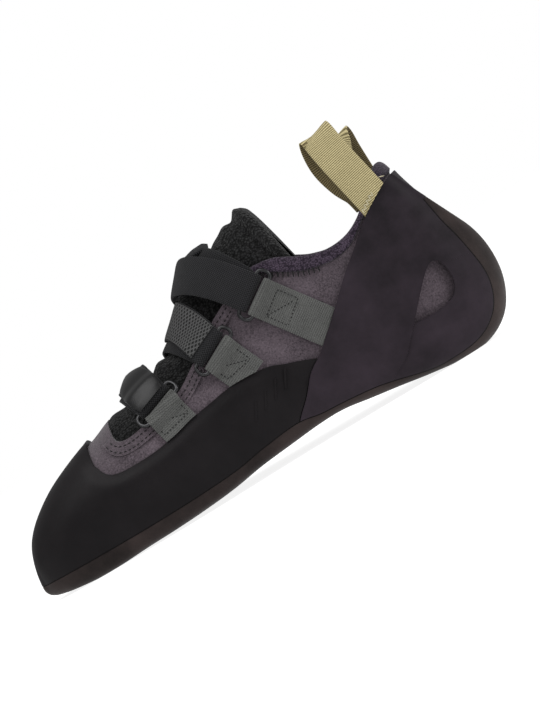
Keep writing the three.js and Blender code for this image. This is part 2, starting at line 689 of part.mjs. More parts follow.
for (const strap of STRAPS) {
  const here = station(strap);
  add(`web_tab_${strap.name}`, tabOn(strap, here), 0x6a6c66, 0.9);
  add(`ring_${strap.name}`, ringOn(here), 0x3c3c40, 0.35, 0.8);
  add(`strap_${strap.name}`, strapOn(strap, here), strap.colour, 0.9);
}

// Pull loops: webbing sewn outside and inside the collar, with room for a finger. Rows
// are x and z in per cent, and how far the webbing's middle is outside the last. The
// lateral loop stands more upright and a little lower: back and drop are per cent of
// LENGTH and INSTEP for each per cent of height above the collar.
const LOOP_WAY = [
  [87.2, 76, 2.9], [86.8, 82, 2.9], [86, 92, 2.9], [85, 104, 1.6],
  [84.4, 112, -0.5], [84, 118.5, -3.5], [83.6, 119.2, -6.5], [83, 113, -9.5],
  [83, 105, -11], [84, 96, -9.5], [85.4, 89, -7.2], [86.1, 82, -6.6],
];
const LOOP_MEDIAL = { sign: -1, back: 0, drop: 0 };
const LOOP_LATERAL = { sign: 1, back: 0.075, drop: 0.15 };
const OVER_COLLAR = 86;
function pullLoop({ sign, back, drop }) {
  const line = LOOP_WAY.map(([x, z, out]) => {
    const over = Math.max(0, z - OVER_COLLAR);
    const { u, v } = findOnLast(X(x), Z(Math.min(z, OVER_COLLAR)), sign > 0);
    const aside = lastPoint(u, v).y + sign * out;
    return new THREE.Vector3(X(x + back * over), aside, Z(z - drop * over));
  });
  const last = 24;
  const smooth = new THREE.CatmullRomCurve3(line, false, "centripetal").getPoints(last);
  const lean = new THREE.Vector3(0.96, 0, 0.28).normalize();
  const places = smooth.map((at, i) => {
    const run = smooth[Math.min(i + 1, last)].clone().sub(smooth[Math.max(i - 1, 0)]);
    const wide = lean.clone().sub(run.clone().multiplyScalar(lean.dot(run) / run.lengthSq()));
    wide.normalize();
    const through = run.clone().normalize().cross(wide).normalize();
    return { at, wide, through, half: LOOP_WEB / 2, thick: LOOP_THICK };
  });
  return strip(places).subtract(prism(grown(bandSide, GAP))).subtract(edgeRoom);
}
add("pull_loop_medial", pullLoop(LOOP_MEDIAL), 0x8c7f45, 0.9);
add("pull_loop_lateral", pullLoop(LOOP_LATERAL), 0x8c7f45, 0.9);

// Shoe on the floor, its middle over the origin
const shoe = new THREE.Group();
shoe.name = "climbing_shoe";
const all = new THREE.Box3();
for (const mesh of Object.values(parts)) {
  mesh.geometry.computeBoundingBox();
  all.union(mesh.geometry.boundingBox);
}
for (const mesh of Object.values(parts)) {
  mesh.geometry.translate(
    -(all.min.x + all.max.x) / 2, -(all.min.y + all.max.y) / 2, -all.min.z);
  shoe.add(mesh);
}

export default shoe;
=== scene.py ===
# %% [markdown]
# # A climbing shoe
# A low climbing shoe for the right foot. Its sole, rubber rands and soft upper all lie
# on one last, the foot-shaped block that a shoe is made on. So the last is drawn first,
# as sections from the toe to the heel, and every piece is a layer on it.
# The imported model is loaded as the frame, and each soft or rubber piece made here takes
# the place of the plain solid with the same job.

# %% Load the frame
import math
import bpy
import bmesh
import numpy as np
from mathutils import Matrix, Vector


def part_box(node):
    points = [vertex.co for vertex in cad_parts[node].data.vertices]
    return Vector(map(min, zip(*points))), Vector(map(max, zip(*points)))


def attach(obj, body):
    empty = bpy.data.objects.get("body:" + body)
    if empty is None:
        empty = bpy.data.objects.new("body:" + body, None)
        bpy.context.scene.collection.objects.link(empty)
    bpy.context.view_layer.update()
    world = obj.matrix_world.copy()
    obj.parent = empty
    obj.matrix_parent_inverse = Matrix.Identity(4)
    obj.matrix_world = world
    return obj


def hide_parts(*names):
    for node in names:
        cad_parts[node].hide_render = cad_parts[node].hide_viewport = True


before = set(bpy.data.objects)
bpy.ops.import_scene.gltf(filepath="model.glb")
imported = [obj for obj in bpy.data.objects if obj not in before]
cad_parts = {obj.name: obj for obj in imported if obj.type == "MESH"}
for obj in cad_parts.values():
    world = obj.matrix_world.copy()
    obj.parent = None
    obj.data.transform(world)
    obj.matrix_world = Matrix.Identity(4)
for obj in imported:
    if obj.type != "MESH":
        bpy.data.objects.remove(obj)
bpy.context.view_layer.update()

print("frame nodes:", len(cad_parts))

# %% [markdown]
# ## Sizes
# The named sizes of the solids, in millimetres, but the webbing is drawn a little
# thinner here. The table has a row for each section of the last: where it starts on the
# sole, where it ends on top, its half widths and how round it is. Places are in per cent
# of the length, the instep and the half width.

# %% Sizes and the table of the last
LENGTH, BALL_WIDTH, INSTEP = 252, 87, 100
HALF_WIDTH = BALL_WIDTH / 2
WALL, GAP, SOLE, TOE_RUBBER, RAND, BAND = 1.8, 0.3, 7, 2.4, 2.2, 2.8
WEB, WEB_THICK, WIRE, RING_DEPTH = 18, 1.8, 1.8, 6.4
FOOTBED, MARGIN = 3.5, 13
TAB_THICK, LOOP_WEB, LOOP_THICK = 1.35, 16, 1.4

COLUMNS = ["base_x", "base_z", "top_x", "top_z", "medial", "lateral", "wide", "ridge",
           "keel", "low", "up_medial", "up_lateral", "sole", "edge"]
ROWS = np.array([
    [1.9, 8.4, 1.9, 15.0, 42.5, -22, 0.45, -32, -32, 2.6, 2.2, 2.2, 54, 3],
    [2.3, 7.6, 2.4, 22.0, 53, -8, 0.42, -31, -31, 3.0, 2.2, 2.2, 71, 4],
    [3.9, 7.0, 3.7, 29.2, 64.5, 8, 0.4, -30, -27.5, 3.4, 2.2, 2.1, 80, 5],
    [6.7, 6.8, 6.3, 36.2, 75, 26.5, 0.38, -29, -23, 3.8, 2.2, 2.0, 90, 7],
    [10.7, 6.8, 10.3, 43.0, 83, 43.5, 0.36, -27.5, -18.5, 4.2, 2.2, 1.95, 101, 8],
    [15.5, 6.9, 15.1, 48.6, 89, 59.5, 0.34, -26.5, -14, 4.2, 2.15, 1.9, 101, 9],
    [21.0, 7.0, 20.6, 53.8, 93.5, 73.5, 0.32, -25.5, -9, 4.2, 2.1, 1.85, 93, 9],
    [26.6, 7.2, 26.2, 59.2, 95, 84.5, 0.3, -24, -6, 4.2, 2.0, 1.8, 91, 9],
    [32.5, 7.8, 32.1, 63.6, 93.5, 92.5, 0.28, -23, -2.5, 4.2, 1.95, 1.75, 90, 9],
    [38.9, 9.3, 37.7, 69.2, 87.5, 95, 0.27, -20.5, 1, 4.0, 1.9, 1.75, 93, 9],
    [45.2, 11.8, 43.1, 74.2, 79, 93.5, 0.26, -18.5, 3.5, 3.8, 1.85, 1.75, 96, 9],
    [51.6, 13.8, 48.4, 86.0, 72, 88, 0.26, -16, 4, 3.6, 1.85, 1.8, 105, 8],
    [57.5, 14.6, 53.6, 97.0, 67.5, 80.5, 0.26, -14, 3.5, 3.4, 1.9, 1.85, 99, 8],
    [63.1, 13.4, 59.1, 105.8, 66, 74.5, 0.27, -11.5, 2.5, 3.3, 1.95, 1.9, 80, 8],
    [68.7, 10.8, 64.3, 111.5, 66, 70.5, 0.28, -9, 1, 3.2, 2.1, 2.05, 74, 7],
    [74.2, 8.0, 69.0, 116.0, 66.5, 68, 0.3, -7, 0, 3.2, 2.25, 2.25, 63, 7],
    [79.8, 6.1, 73.0, 118, 67.5, 66.5, 0.32, -3.5, 0, 3.0, 2.4, 2.4, 70, 6],
    [85.3, 5.2, 76.2, 118, 66.5, 65, 0.34, -1, 0, 2.9, 2.5, 2.5, 82, 5],
    [90.4, 5.8, 79.0, 118, 63.5, 61, 0.37, 0, 0, 2.7, 2.5, 2.5, 86, 3.6],
    [94.1, 12.2, 81.0, 118, 59, 56.5, 0.42, 0, 0, 2.4, 2.5, 2.5, 107, 2.8],
    [96.3, 22.9, 82.5, 118, 54, 52.5, 0.5, 0, 0, 2.15, 2.6, 2.6, 114, 2.3],
    [96.7, 35, 83.9, 118, 50.5, 48.5, 0.6, 0, 0, 2.0, 2.8, 2.8, 119, 2.1],
    [95.9, 47, 85.1, 118, 47, 45.5, 0.68, 0, 0, 1.95, 3.0, 3.0, 114, 2.0],
    [94.0, 60, 86.3, 118, 43, 42, 0.74, 0, 0, 1.95, 3.2, 3.2, 88, 2.0],
    [92.5, 74, 87.5, 118, 37.5, 37, 0.78, 0, 0, 1.95, 3.3, 3.3, 60, 2.0],
    [91.5, 90, 88.7, 118, 30, 29, 0.8, 0, 0, 2.0, 3.3, 3.3, 34, 2.0],
    [91.0, 106, 89.9, 118, 17, 17, 0.8, 0, 0, 2.0, 3.0, 3.0, 31, 2.0],
], dtype=float)
END = len(ROWS) - 1
print("sections of the last:", len(ROWS))

# %% [markdown]
# ## The last as a surface
# Between two rows each value follows a smooth curve. A section is a rounded outline
# round the line from its base point to its top point, so two numbers name any place
# on the shoe: u along the foot and v round it. The rubber's outside is a second such
# surface, with squarer lower corners.

# %% Points of the last
def unit(a):
    return a / np.maximum(np.linalg.norm(a, axis=-1, keepdims=True), 1e-9)


def between(table, i, f):
    """A smooth value between rows i and i + 1 of a table, at the share f of the way."""
    a, b, c, d = (table[np.clip(i + k, 0, len(table) - 1)] for k in (-1, 0, 1, 2))
    return b + 0.5 * f * (c - a + (2 * a - 5 * b + 4 * c - d) * f + (3 * b - 3 * c + d - a) * f * f)


def last_at(u):
    u = np.clip(u, 0, END)
    i = np.minimum(np.floor(u).astype(int), END - 1)
    row = between(ROWS, i, (u - i)[..., None])
    return {name: row[..., k] for k, name in enumerate(COLUMNS)}


def plane_at(u, base, top, toe):
    here, back, ahead = last_at(u), last_at(u - 0.05), last_at(u + 0.05)
    bx, bz = (ahead["base_x"] - back["base_x"]) * LENGTH, (ahead["base_z"] - back["base_z"]) * INSTEP
    tx, tz = (ahead["top_x"] - back["top_x"]) * LENGTH, (ahead["top_z"] - back["top_z"]) * INSTEP
    bl, tl = np.hypot(bx, bz), np.hypot(tx, tz)
    x = here["base_x"] * LENGTH / 100
    push = toe * np.maximum(0, 1 - x / 20) ** 1.5
    foot = np.stack([x + bz / bl * base - push, here["base_z"] * INSTEP / 100 - bx / bl * base], -1)
    head = np.stack([here["top_x"] * LENGTH / 100 - tz / tl * top - push,
                     here["top_z"] * INSTEP / 100 + tx / tl * top], -1)
    return here, foot, head


def section_points(row, foot, head, v, side, low, wide):
    share = HALF_WIDTH / 100
    lateral = v > 0.5
    turn = 2 * np.pi * np.where(lateral, 1 - v, v)
    half = np.where(lateral, row["lateral"] * share + side, -row["medial"] * share - side)
    upper = turn > np.pi / 2
    middle = np.where(upper, row["ridge"], row["keel"]) * share
    up = np.where(lateral, row["up_lateral"], row["up_medial"])
    power = 2 / np.where(upper, up, low)
    across = np.maximum(0, np.sin(turn)) ** power
    along = np.abs(np.cos(turn)) ** power
    height = np.where(upper, wide + (1 - wide) * along, wide * (1 - along))
    return np.stack([foot[..., 0] + (head[..., 0] - foot[..., 0]) * height,
                     middle + (half - middle) * across,
                     foot[..., 1] + (head[..., 1] - foot[..., 1]) * height], -1)


def last_points(u, v):
    u, v = np.broadcast_arrays(np.asarray(u, float), np.asarray(v, float))
    row, foot, head = plane_at(u, 0, 0, 0)
    return section_points(row, foot, head, v, 0, row["low"], row["wide"])


def last_normals(u, v):
    u, v = np.broadcast_arrays(np.asarray(u, float), np.asarray(v, float))
    along_u = last_points(u + 0.04, v) - last_points(u - 0.04, v)
    along_v = last_points(u, (v + 0.004) % 1.0) - last_points(u, (v - 0.004) % 1.0)
    return unit(np.cross(along_u, along_v))


def offset_points(u, v, out):
    return last_points(u, v) + last_normals(u, v) * np.asarray(out)[..., None]


def rubber_points(u, v, side):
    u, v = np.broadcast_arrays(np.asarray(u, float), np.asarray(v, float))
    sole = last_at(u)["sole"] * SOLE / 100
    row, foot, head = plane_at(u, sole, side, TOE_RUBBER)
    _, foot0, head0 = plane_at(u, 0, 0, 0)
    tall = np.linalg.norm(head0 - foot0, axis=-1)
    wide = (row["wide"] * tall + sole) / (tall + sole + side)
    return section_points(row, foot, head, v, side, row["edge"], wide)


def find_on_last(x, z, lateral=False):
    """The u and v of a place in the side view, on the medial or the lateral side."""
    x, z = np.broadcast_arrays(np.asarray(x, float), np.asarray(z, float))
    low, high = np.zeros(x.shape), np.full(x.shape, float(END))
    for _ in range(32):
        middle = (low + high) / 2
        _, foot, head = plane_at(middle, 0, 0, 0)
        aside = (head[..., 0] - foot[..., 0]) * (z - foot[..., 1]) \
            - (head[..., 1] - foot[..., 1]) * (x - foot[..., 0])
        high = np.where(aside > 0, middle, high)
        low = np.where(aside > 0, low, middle)
    row, foot, head = plane_at(low, 0, 0, 0)
    axis = head - foot
    height = (x - foot[..., 0]) * axis[..., 0] + (z - foot[..., 1]) * axis[..., 1]
    height = height / (axis ** 2).sum(-1)
    upper = height > row["wide"]
    power = np.where(upper, row["up_lateral"] if lateral else row["up_medial"], row["low"])
    rest = np.where(upper, (height - row["wide"]) / (1 - row["wide"]), 1 - height / row["wide"])
    cosine = np.clip(rest, 0, 1) ** (power / 2)
    turn = np.where(upper, np.pi - np.arccos(cosine), np.arccos(cosine))
    v = turn / (2 * np.pi)
    return low, (1 - v if lateral else v)


toe_part = rubber_points(np.linspace(0, 3, 40)[:, None], np.linspace(0, 1, 40)[None], RAND)
SHIFT = np.array([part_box("toe_rand")[0].x * 1000 - toe_part[..., 0].min(), 0.0, 0.0])
print("drawing to frame, mm:", SHIFT.round(2))

# %% [markdown]
# ## Meshes from the last
# A piece with a wall is what is left between two copies of the last, cut by outlines
# drawn in the side view, as leather is cut with a knife. The outline is a flat face
# that is extruded across the shoe, and Boolean modifiers make the cuts.

# %% Helpers for making and cutting pieces
def pick(obj):
    bpy.ops.object.select_all(action="DESELECT")
    obj.select_set(True)
    bpy.context.view_layer.objects.active = obj


def make_mesh(name, points, faces, uv=None):
    mesh = bpy.data.meshes.new(name)
    mesh.from_pydata(((np.asarray(points) + SHIFT) / 1000).tolist(), [], faces)
    if uv is not None:
        layer = mesh.uv_layers.new(name="web")
        index = np.empty(len(mesh.loops), dtype=np.int32)
        mesh.loops.foreach_get("vertex_index", index)
        layer.data.foreach_set("uv", np.asarray(uv, dtype=np.float32)[index].ravel())
    obj = bpy.data.objects.new(name, mesh)
    bpy.context.collection.objects.link(obj)
    return obj


def closed_rings(name, rings, loop=False, uv=None):
    """A closed skin through rings of points, with a cap at each end unless it loops."""
    n, m = rings.shape[:2]
    points = rings.reshape(-1, 3)
    i, j = np.meshgrid(np.arange(n if loop else n - 1), np.arange(m), indexing="ij")
    a, b = i * m + j, i * m + (j + 1) % m
    c, d = ((i + 1) % n) * m + j, ((i + 1) % n) * m + (j + 1) % m
    faces = np.stack([a, b, d, c], -1).reshape(-1, 4).tolist()
    if not loop:
        points = np.concatenate([points, rings[0].mean(0)[None], rings[-1].mean(0)[None]])
        k, last = np.arange(m), (n - 1) * m
        faces += np.stack([np.full(m, n * m), (k + 1) % m, k], -1).tolist()
        faces += np.stack([np.full(m, n * m + 1), last + k, last + (k + 1) % m], -1).tolist()
        if uv is not None:
            uv = np.concatenate([uv, uv[:1], uv[-1:]])
    obj = make_mesh(name, points, faces, uv)
    bm = bmesh.new()
    bm.from_mesh(obj.data)
    if bm.calc_volume(signed=True) < 0:
        bmesh.ops.reverse_faces(bm, faces=bm.faces)
        bm.to_mesh(obj.data)
    bm.free()
    return obj


def layer_of_last(name, out, rows=110, around=72):
    u, v = np.linspace(0, END, rows)[:, None], (np.arange(around) / around)[None]
    return closed_rings(name, offset_points(u, v, np.full((rows, around), float(out))))


def layer_of_rubber(name, side, rows=230, around=150):
    u, v = np.linspace(0, END, rows)[:, None], (np.arange(around) / around)[None]
    return closed_rings(name, rubber_points(u, v, side))


def cut(piece, tool, how="DIFFERENCE", keep=False):
    pick(piece)
    modifier = piece.modifiers.new("cut", "BOOLEAN")
    modifier.operation, modifier.object, modifier.solver = how, tool, "MANIFOLD"
    bpy.ops.object.modifier_apply(modifier=modifier.name)
    if not keep:
        bpy.data.objects.remove(tool)
    return piece


def corners(*table):
    """Points in millimetres from points in per cent of length and instep."""
    return np.array(table, float) * [LENGTH / 100, INSTEP / 100]


def through_points(points, steps):
    """A smooth line through points, with a number of steps from each to the next."""
    shares = np.arange(steps) / steps
    line = [between(points, k, share) for k in range(len(points) - 1) for share in shares]
    return np.array(line + [points[-1]])


def smooth_line(table, steps=6):
    return through_points(corners(*table), steps)


def way_along(line):
    """How far along a line each of its points is."""
    return np.concatenate([[0], np.cumsum(np.linalg.norm(np.diff(line, axis=0), axis=1))])


def at_way(where, way, *lines):
    """Points of each line at given places on its way."""
    return [np.stack([np.interp(where, way, line[:, k]) for k in range(line.shape[1])], -1) for line in lines]


def beside(line, distance):
    """A line moved sideways by a distance, in the side view."""
    run = unit(np.gradient(line, axis=0))
    return line + np.stack([run[:, 1], -run[:, 0]], -1) * distance


def extruded(name, points, way):
    """A flat face, extruded by a way in millimetres."""
    obj = make_mesh(name, points, [list(range(len(points)))])
    pick(obj)
    bpy.ops.object.mode_set(mode="EDIT")
    bpy.ops.mesh.select_all(action="SELECT")
    bpy.ops.mesh.extrude_region_move(TRANSFORM_OT_translate={"value": tuple(q / 1000 for q in way)})
    bpy.ops.mesh.select_all(action="SELECT")
    bpy.ops.mesh.normals_make_consistent(inside=False)
    bpy.ops.object.mode_set(mode="OBJECT")
    return obj


def prism(name, outline, from_y=-80, to_y=80):
    """Everything across the shoe that lies inside an outline of the side view."""
    points = np.stack([outline[:, 0], np.full(len(outline), float(from_y)), outline[:, 1]], -1)
    return extruded(name, points, (0, to_y - from_y, 0))


def grown(outline, distance):
    a, b = np.roll(outline, 1, 0), np.roll(outline, -1, 0)
    area = (outline[:, 0] * b[:, 1] - b[:, 0] * outline[:, 1]).sum()
    run = unit(unit(outline - a) + unit(b - outline))
    return outline + np.stack([run[:, 1], -run[:, 0]], -1) * distance * np.sign(area)


def soft_shade(piece, degrees=35):
    pick(piece)
    bpy.ops.object.shade_smooth_by_angle(angle=math.radians(degrees))


def hand_over(piece, nodes, finish, degrees=35):
    """Finish a piece: smooth it, give it its material and let it stand for its solid."""
    soft_shade(piece, degrees)
    piece.data.materials.clear()
    piece.data.materials.append(finish)
    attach(piece, "root")
    if nodes:
        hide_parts(*nodes)
    print(piece.name, "faces:", len(piece.data.polygons))
    return piece


# %% [markdown]
# ## Outlines
# These are the seams and edges as they are seen from the side, in per cent of length
# and instep: the sole's upper edge, the rands, the window at the heel, the collar and
# the throat.

# %% Side outlines
SOLE_LINE = [
    (-4, 9), (0.8, 9), (24, 8.5), (40, 9.5), (47.6, 12), (54.8, 13.6), (59.5, 11.7),
    (63.5, 11), (69.4, 9.5), (73.4, 7.5), (79.4, 3.6), (83.3, 2.5), (89.3, 3.5),
    (93.3, 8), (96, 16), (97.2, 28), (96.4, 45), (95.2, 58), (94.4, 70),
]
TOE_RAND_TOP = [
    (20.1, 75), (20.1, 48), (20.7, 42), (21.8, 38), (23.8, 36), (27.8, 35.5),
    (31.7, 36), (35.7, 37.5), (39.7, 40), (43.7, 41.5), (47.6, 43), (51.6, 43),
    (55.6, 42), (58.7, 39), (61.5, 36.5), (63.9, 34),
]
ARCH_SEAM = [(63.9, 34), (61.5, 30), (58.7, 22), (55.6, 14.5), (54, 8), (53, 0)]
BAND_TOP = [
    (63.9, 34), (65.5, 36.5), (71.4, 49.5), (75.4, 59), (79.4, 67), (83.7, 76),
    (89.7, 85), (92.5, 88), (97, 92),
]
BAND_REAR = [
    (73.4, 0), (73.4, 8), (77.4, 14), (79.4, 19), (81.7, 25), (85.3, 35), (88.1, 42),
    (89.7, 44.5), (90.9, 43.5), (94, 40), (104, 36),
]
WINDOW = [
    (81.7, 25), (84.1, 24.3), (87.3, 24.5), (89.7, 26), (91, 29), (91.7, 34),
    (91.5, 40), (90.9, 43.5), (89.7, 44.5), (88.1, 42), (85.3, 35),
]
COLLAR_TOP = [
    (59.5, 84.5), (65.5, 83), (68.3, 80), (71.4, 76), (75.4, 73.5), (79.4, 74.5),
    (82.9, 79), (86, 86.5), (89.3, 93), (91.3, 95.5), (94, 95.5), (98, 95),
]
COLLAR_LOW = [
    (59.5, 81), (63.5, 78.5), (67.5, 73), (70.6, 69.5), (75.4, 67.5), (79.4, 69.5),
    (83.7, 77), (89.7, 86), (92.5, 89), (97, 93),
]
THROAT_MEDIAL = [
    (25.4, 51.5), (25.8, 48.6), (27, 47.2), (30, 47.6), (38.5, 52), (42.9, 58),
    (49.6, 70), (55.6, 78), (60.3, 84.5),
]
THROAT_LATERAL = [
    (25.4, 56), (25.8, 54.2), (27, 53.4), (30, 53.8), (38.5, 58), (42.9, 63),
    (49.6, 74.5), (55.6, 80.5), (60.3, 84.5),
]

SOLE_SIDE = np.concatenate([smooth_line(SOLE_LINE), corners((112, 74), (112, -20), (-8, -20), (-8, 9))])
TOE_RAND_SIDE = np.concatenate([corners((-8, 75)), smooth_line(TOE_RAND_TOP),
                                smooth_line(ARCH_SEAM)[1:], corners((53, -20), (-8, -20))])
BAND_SIDE = np.concatenate([smooth_line(BAND_TOP), corners((108, 92), (108, 36)),
                            smooth_line(BAND_REAR)[::-1], smooth_line(ARCH_SEAM)[::-1][:-1]])
WINDOW_SIDE = smooth_line(WINDOW + WINDOW[:1])[:-1]
CUP_SIDE = np.concatenate([smooth_line(BAND_REAR), corners((108, 36), (108, -20), (73.4, -20))])
print("outline points:", len(SOLE_SIDE), len(TOE_RAND_SIDE), len(BAND_SIDE))

# %% [markdown]
# ## Camera, floor and light
# The camera looks at the ring side from about the height of the shoe, a little from
# behind, and is rolled so that the toe points down to the left. The floor and the world
# are the same white, as in a product photo, and large soft lamps leave no hard shadows.

# %% Camera
ROLL, YAW, RISE_VIEW = math.radians(31.21), math.radians(4.5), math.radians(1.0)
LENS, SENSOR, SEEN_HEIGHT = 135, 36, 0.3283
LOOK_X, LOOK_Z = 140.2, 43.65  # the middle of the picture, on the drawing
look_at = Vector(((LOOK_X + SHIFT[0]) / 1000, 0, LOOK_Z / 1000))
away = LENS / SENSOR * SEEN_HEIGHT
flat_way = math.cos(RISE_VIEW)
back = Vector((math.sin(YAW) * flat_way, -math.cos(YAW) * flat_way, math.sin(RISE_VIEW)))
level_right = Vector((0, 0, 1)).cross(back).normalized()
level_up = back.cross(level_right)
right = level_right * math.cos(ROLL) - level_up * math.sin(ROLL)
up = level_right * math.sin(ROLL) + level_up * math.cos(ROLL)
bpy.ops.object.camera_add()
camera = bpy.context.object
camera.name = "camera"
camera.data.lens = LENS
camera.data.clip_start, camera.data.clip_end = 0.05, 40
turned_view = Matrix((right, up, back)).transposed().to_4x4()
camera.matrix_world = Matrix.Translation(look_at + back * away) @ turned_view
bpy.context.scene.camera = camera
bpy.context.scene.view_settings.view_transform = "Standard"
print("camera height, m:", round(camera.location.z, 3))

# %% Floor and lamps
bpy.ops.mesh.primitive_plane_add(size=12, location=(0, 0, 0))
floor = bpy.context.object
floor.name = "floor"
white = bpy.data.materials.new("floor_white")
white.use_nodes = True
floor_shader = white.node_tree.nodes["Principled BSDF"]
floor_shader.inputs["Base Color"].default_value = (0.4, 0.4, 0.4, 1)
floor_shader.inputs["Roughness"].default_value = 0.9
floor_shader.inputs["Specular IOR Level"].default_value = 0.1
floor_shader.inputs["Emission Color"].default_value = (1, 1, 1, 1)
floor_shader.inputs["Emission Strength"].default_value = 0.86
floor.data.materials.append(white)

world = bpy.context.scene.world or bpy.data.worlds.new("studio")
bpy.context.scene.world = world
world.use_nodes = True
sky = world.node_tree
sky.nodes["Background"].inputs["Color"].default_value = (1, 1, 1, 1)
sky.nodes["Background"].inputs["Strength"].default_value = 0.42
seen = sky.nodes.new("ShaderNodeBackground")
seen.inputs["Color"].default_value, seen.inputs["Strength"].default_value = (1, 1, 1, 1), 1.0
ray, pair = sky.nodes.new("ShaderNodeLightPath"), sky.nodes.new("ShaderNodeMixShader")
sky.links.new(ray.outputs["Is Camera Ray"], pair.inputs[0])
sky.links.new(sky.nodes["Background"].outputs[0], pair.inputs[1])
sky.links.new(seen.outputs[0], pair.inputs[2])
sky.links.new(pair.outputs[0], sky.nodes["World Output"].inputs["Surface"])


def lamp(name, place, size, power):
    bpy.ops.object.light_add(type="AREA", location=place)
    made_lamp = bpy.context.object
    made_lamp.name = name
    made_lamp.data.energy, made_lamp.data.size = power, size
    made_lamp.rotation_mode = "QUATERNION"
    made_lamp.rotation_quaternion = (Vector(place) - Vector((0, 0, 0.05))).to_track_quat("Z", "Y")


lamp("lamp_above", (-0.3, -0.6, 1.5), 1.2, 20)
lamp("lamp_heel", (1.4, -0.7, 0.7), 0.8, 14)
lamp("lamp_toe", (-1.3, -0.8, 0.9), 0.8, 2.5)

# %% [markdown]
# ## Finishes
# Each finish is one material with its colour, roughness and fine relief from noise or
# woven patterns. Rubber is nearly black and dull, with cloudy dust. The microfibre has
# a fine speckled nap. Webbing reads a flat map that runs along each strip, so that its
# threads turn with the strip.

# %% Node helpers
def start_finish(name, roughness, specular=0.3):
    finish = bpy.data.materials.new(name)
    finish.use_nodes = True
    shader = finish.node_tree.nodes["Principled BSDF"]
    shader.inputs["Roughness"].default_value = roughness
    shader.inputs["Specular IOR Level"].default_value = specular
    return finish, finish.node_tree, shader


def on_object(tree, kind, scale):
    """A texture that is laid out in the shoe's own metres."""
    texture = tree.nodes.new(kind)
    texture.inputs["Scale"].default_value = scale
    tree.links.new(tree.nodes.new("ShaderNodeTexCoord").outputs["Object"], texture.inputs["Vector"])
    return texture


def noise(tree, scale, detail=4, rough=0.6):
    texture = on_object(tree, "ShaderNodeTexNoise", scale)
    texture.inputs["Detail"].default_value = detail
    texture.inputs["Roughness"].default_value = rough
    return texture.outputs["Fac"]


def blend_colours(tree, shader, share, *stops):
    """Colour the finish by a share: two stops, each a place and a colour."""
    ramp = tree.nodes.new("ShaderNodeValToRGB")
    tree.links.new(share, ramp.inputs["Fac"])
    for element, (position, colour) in zip(ramp.color_ramp.elements, stops):
        element.position, element.color = position, (*colour, 1)
    tree.links.new(ramp.outputs["Color"], shader.inputs["Base Color"])


def calc(tree, operation, *values):
    node = tree.nodes.new("ShaderNodeMath")
    node.operation = operation
    for index, value in enumerate(values):
        if isinstance(value, (int, float)):
            node.inputs[index].default_value = value
        else:
            tree.links.new(value, node.inputs[index])
    return node.outputs[0]


def mix(tree, one, share_one, two, share_two):
    """So much of one pattern and so much of another."""
    return calc(tree, "ADD", calc(tree, "MULTIPLY", one, share_one), calc(tree, "MULTIPLY", two, share_two))


def relief(tree, shader, height, millimetres, strength=1.0, under=None):
    bump = tree.nodes.new("ShaderNodeBump")
    bump.inputs["Strength"].default_value = strength
    bump.inputs["Distance"].default_value = millimetres / 1000
    tree.links.new(height, bump.inputs["Height"])
    if under is not None:
        tree.links.new(under, bump.inputs["Normal"])
    tree.links.new(bump.outputs["Normal"], shader.inputs["Normal"])
    return bump.outputs["Normal"]


# %% Rubber
def rubber(name, deep, dusty, roughness, grain=0.03):
    finish, tree, shader = start_finish(name, roughness, 0.09)
    blend_colours(tree, shader, noise(tree, 28, 5, 0.65), (0.32, deep), (0.72, dusty))
    spread = tree.nodes.new("ShaderNodeMapRange")
    spread.inputs["To Min"].default_value = roughness - 0.08
    spread.inputs["To Max"].default_value = roughness + 0.1
    tree.links.new(noise(tree, 90, 4), spread.inputs["Value"])
    tree.links.new(spread.outputs["Result"], shader.inputs["Roughness"])
    under = relief(tree, shader, noise(tree, 60, 3), 0.35, 0.35)
    relief(tree, shader, noise(tree, 1600, 3), grain, 0.7, under)
    return finish


rand_rubber = rubber("rand_rubber", (0.0045, 0.0038, 0.0043), (0.0092, 0.0077, 0.0086), 0.48)
# The band and the heel cup take a lighter copy of the rand rubber: painted light, over the same cloudy dust.
heel_rubber_painted_light = rubber("heel_rubber_painted_light", (0.0075, 0.0058, 0.0074), (0.026, 0.019, 0.0255), 0.52)
sole_rubber = rubber("sole_rubber", (0.008, 0.006, 0.0058), (0.036, 0.026, 0.0245), 0.55, 0.05)
grip_rubber = rubber("grip_rubber", (0.003, 0.003, 0.0033), (0.0058, 0.0056, 0.006), 0.36, 0.008)
grip_rubber.node_tree.nodes["Principled BSDF"].inputs["Specular IOR Level"].default_value = 0.22
print("materials so far:", len(bpy.data.materials))

# %% Microfibre, knit and mesh
def nap(name, deep, light, scale, depth, sheen=0.25):
    finish, tree, shader = start_finish(name, 0.92, 0.1)
    speckle = mix(tree, noise(tree, scale, 3, 0.7), 0.8, noise(tree, 45, 3), 0.35)
    blend_colours(tree, shader, speckle, (0.38, deep), (0.78, light))
    relief(tree, shader, noise(tree, scale * 1.3, 3, 0.7), depth, 0.8)
    shader.inputs["Sheen Weight"].default_value = sheen
    shader.inputs["Sheen Roughness"].default_value = 0.5
    return finish


microfibre = nap("microfibre", (0.02, 0.0155, 0.0188), (0.105, 0.083, 0.098), 1350, 0.22)
footbed_cloth = nap("footbed_cloth", (0.02, 0.02, 0.021), (0.06, 0.06, 0.062), 800, 0.12, 0.1)
thread_black = nap("thread_black", (0.006, 0.006, 0.006), (0.012, 0.012, 0.012), 2500, 0.03, 0.1)
thread_cream = nap("thread_cream", (0.3, 0.27, 0.17), (0.5, 0.46, 0.33), 2500, 0.03, 0.1)


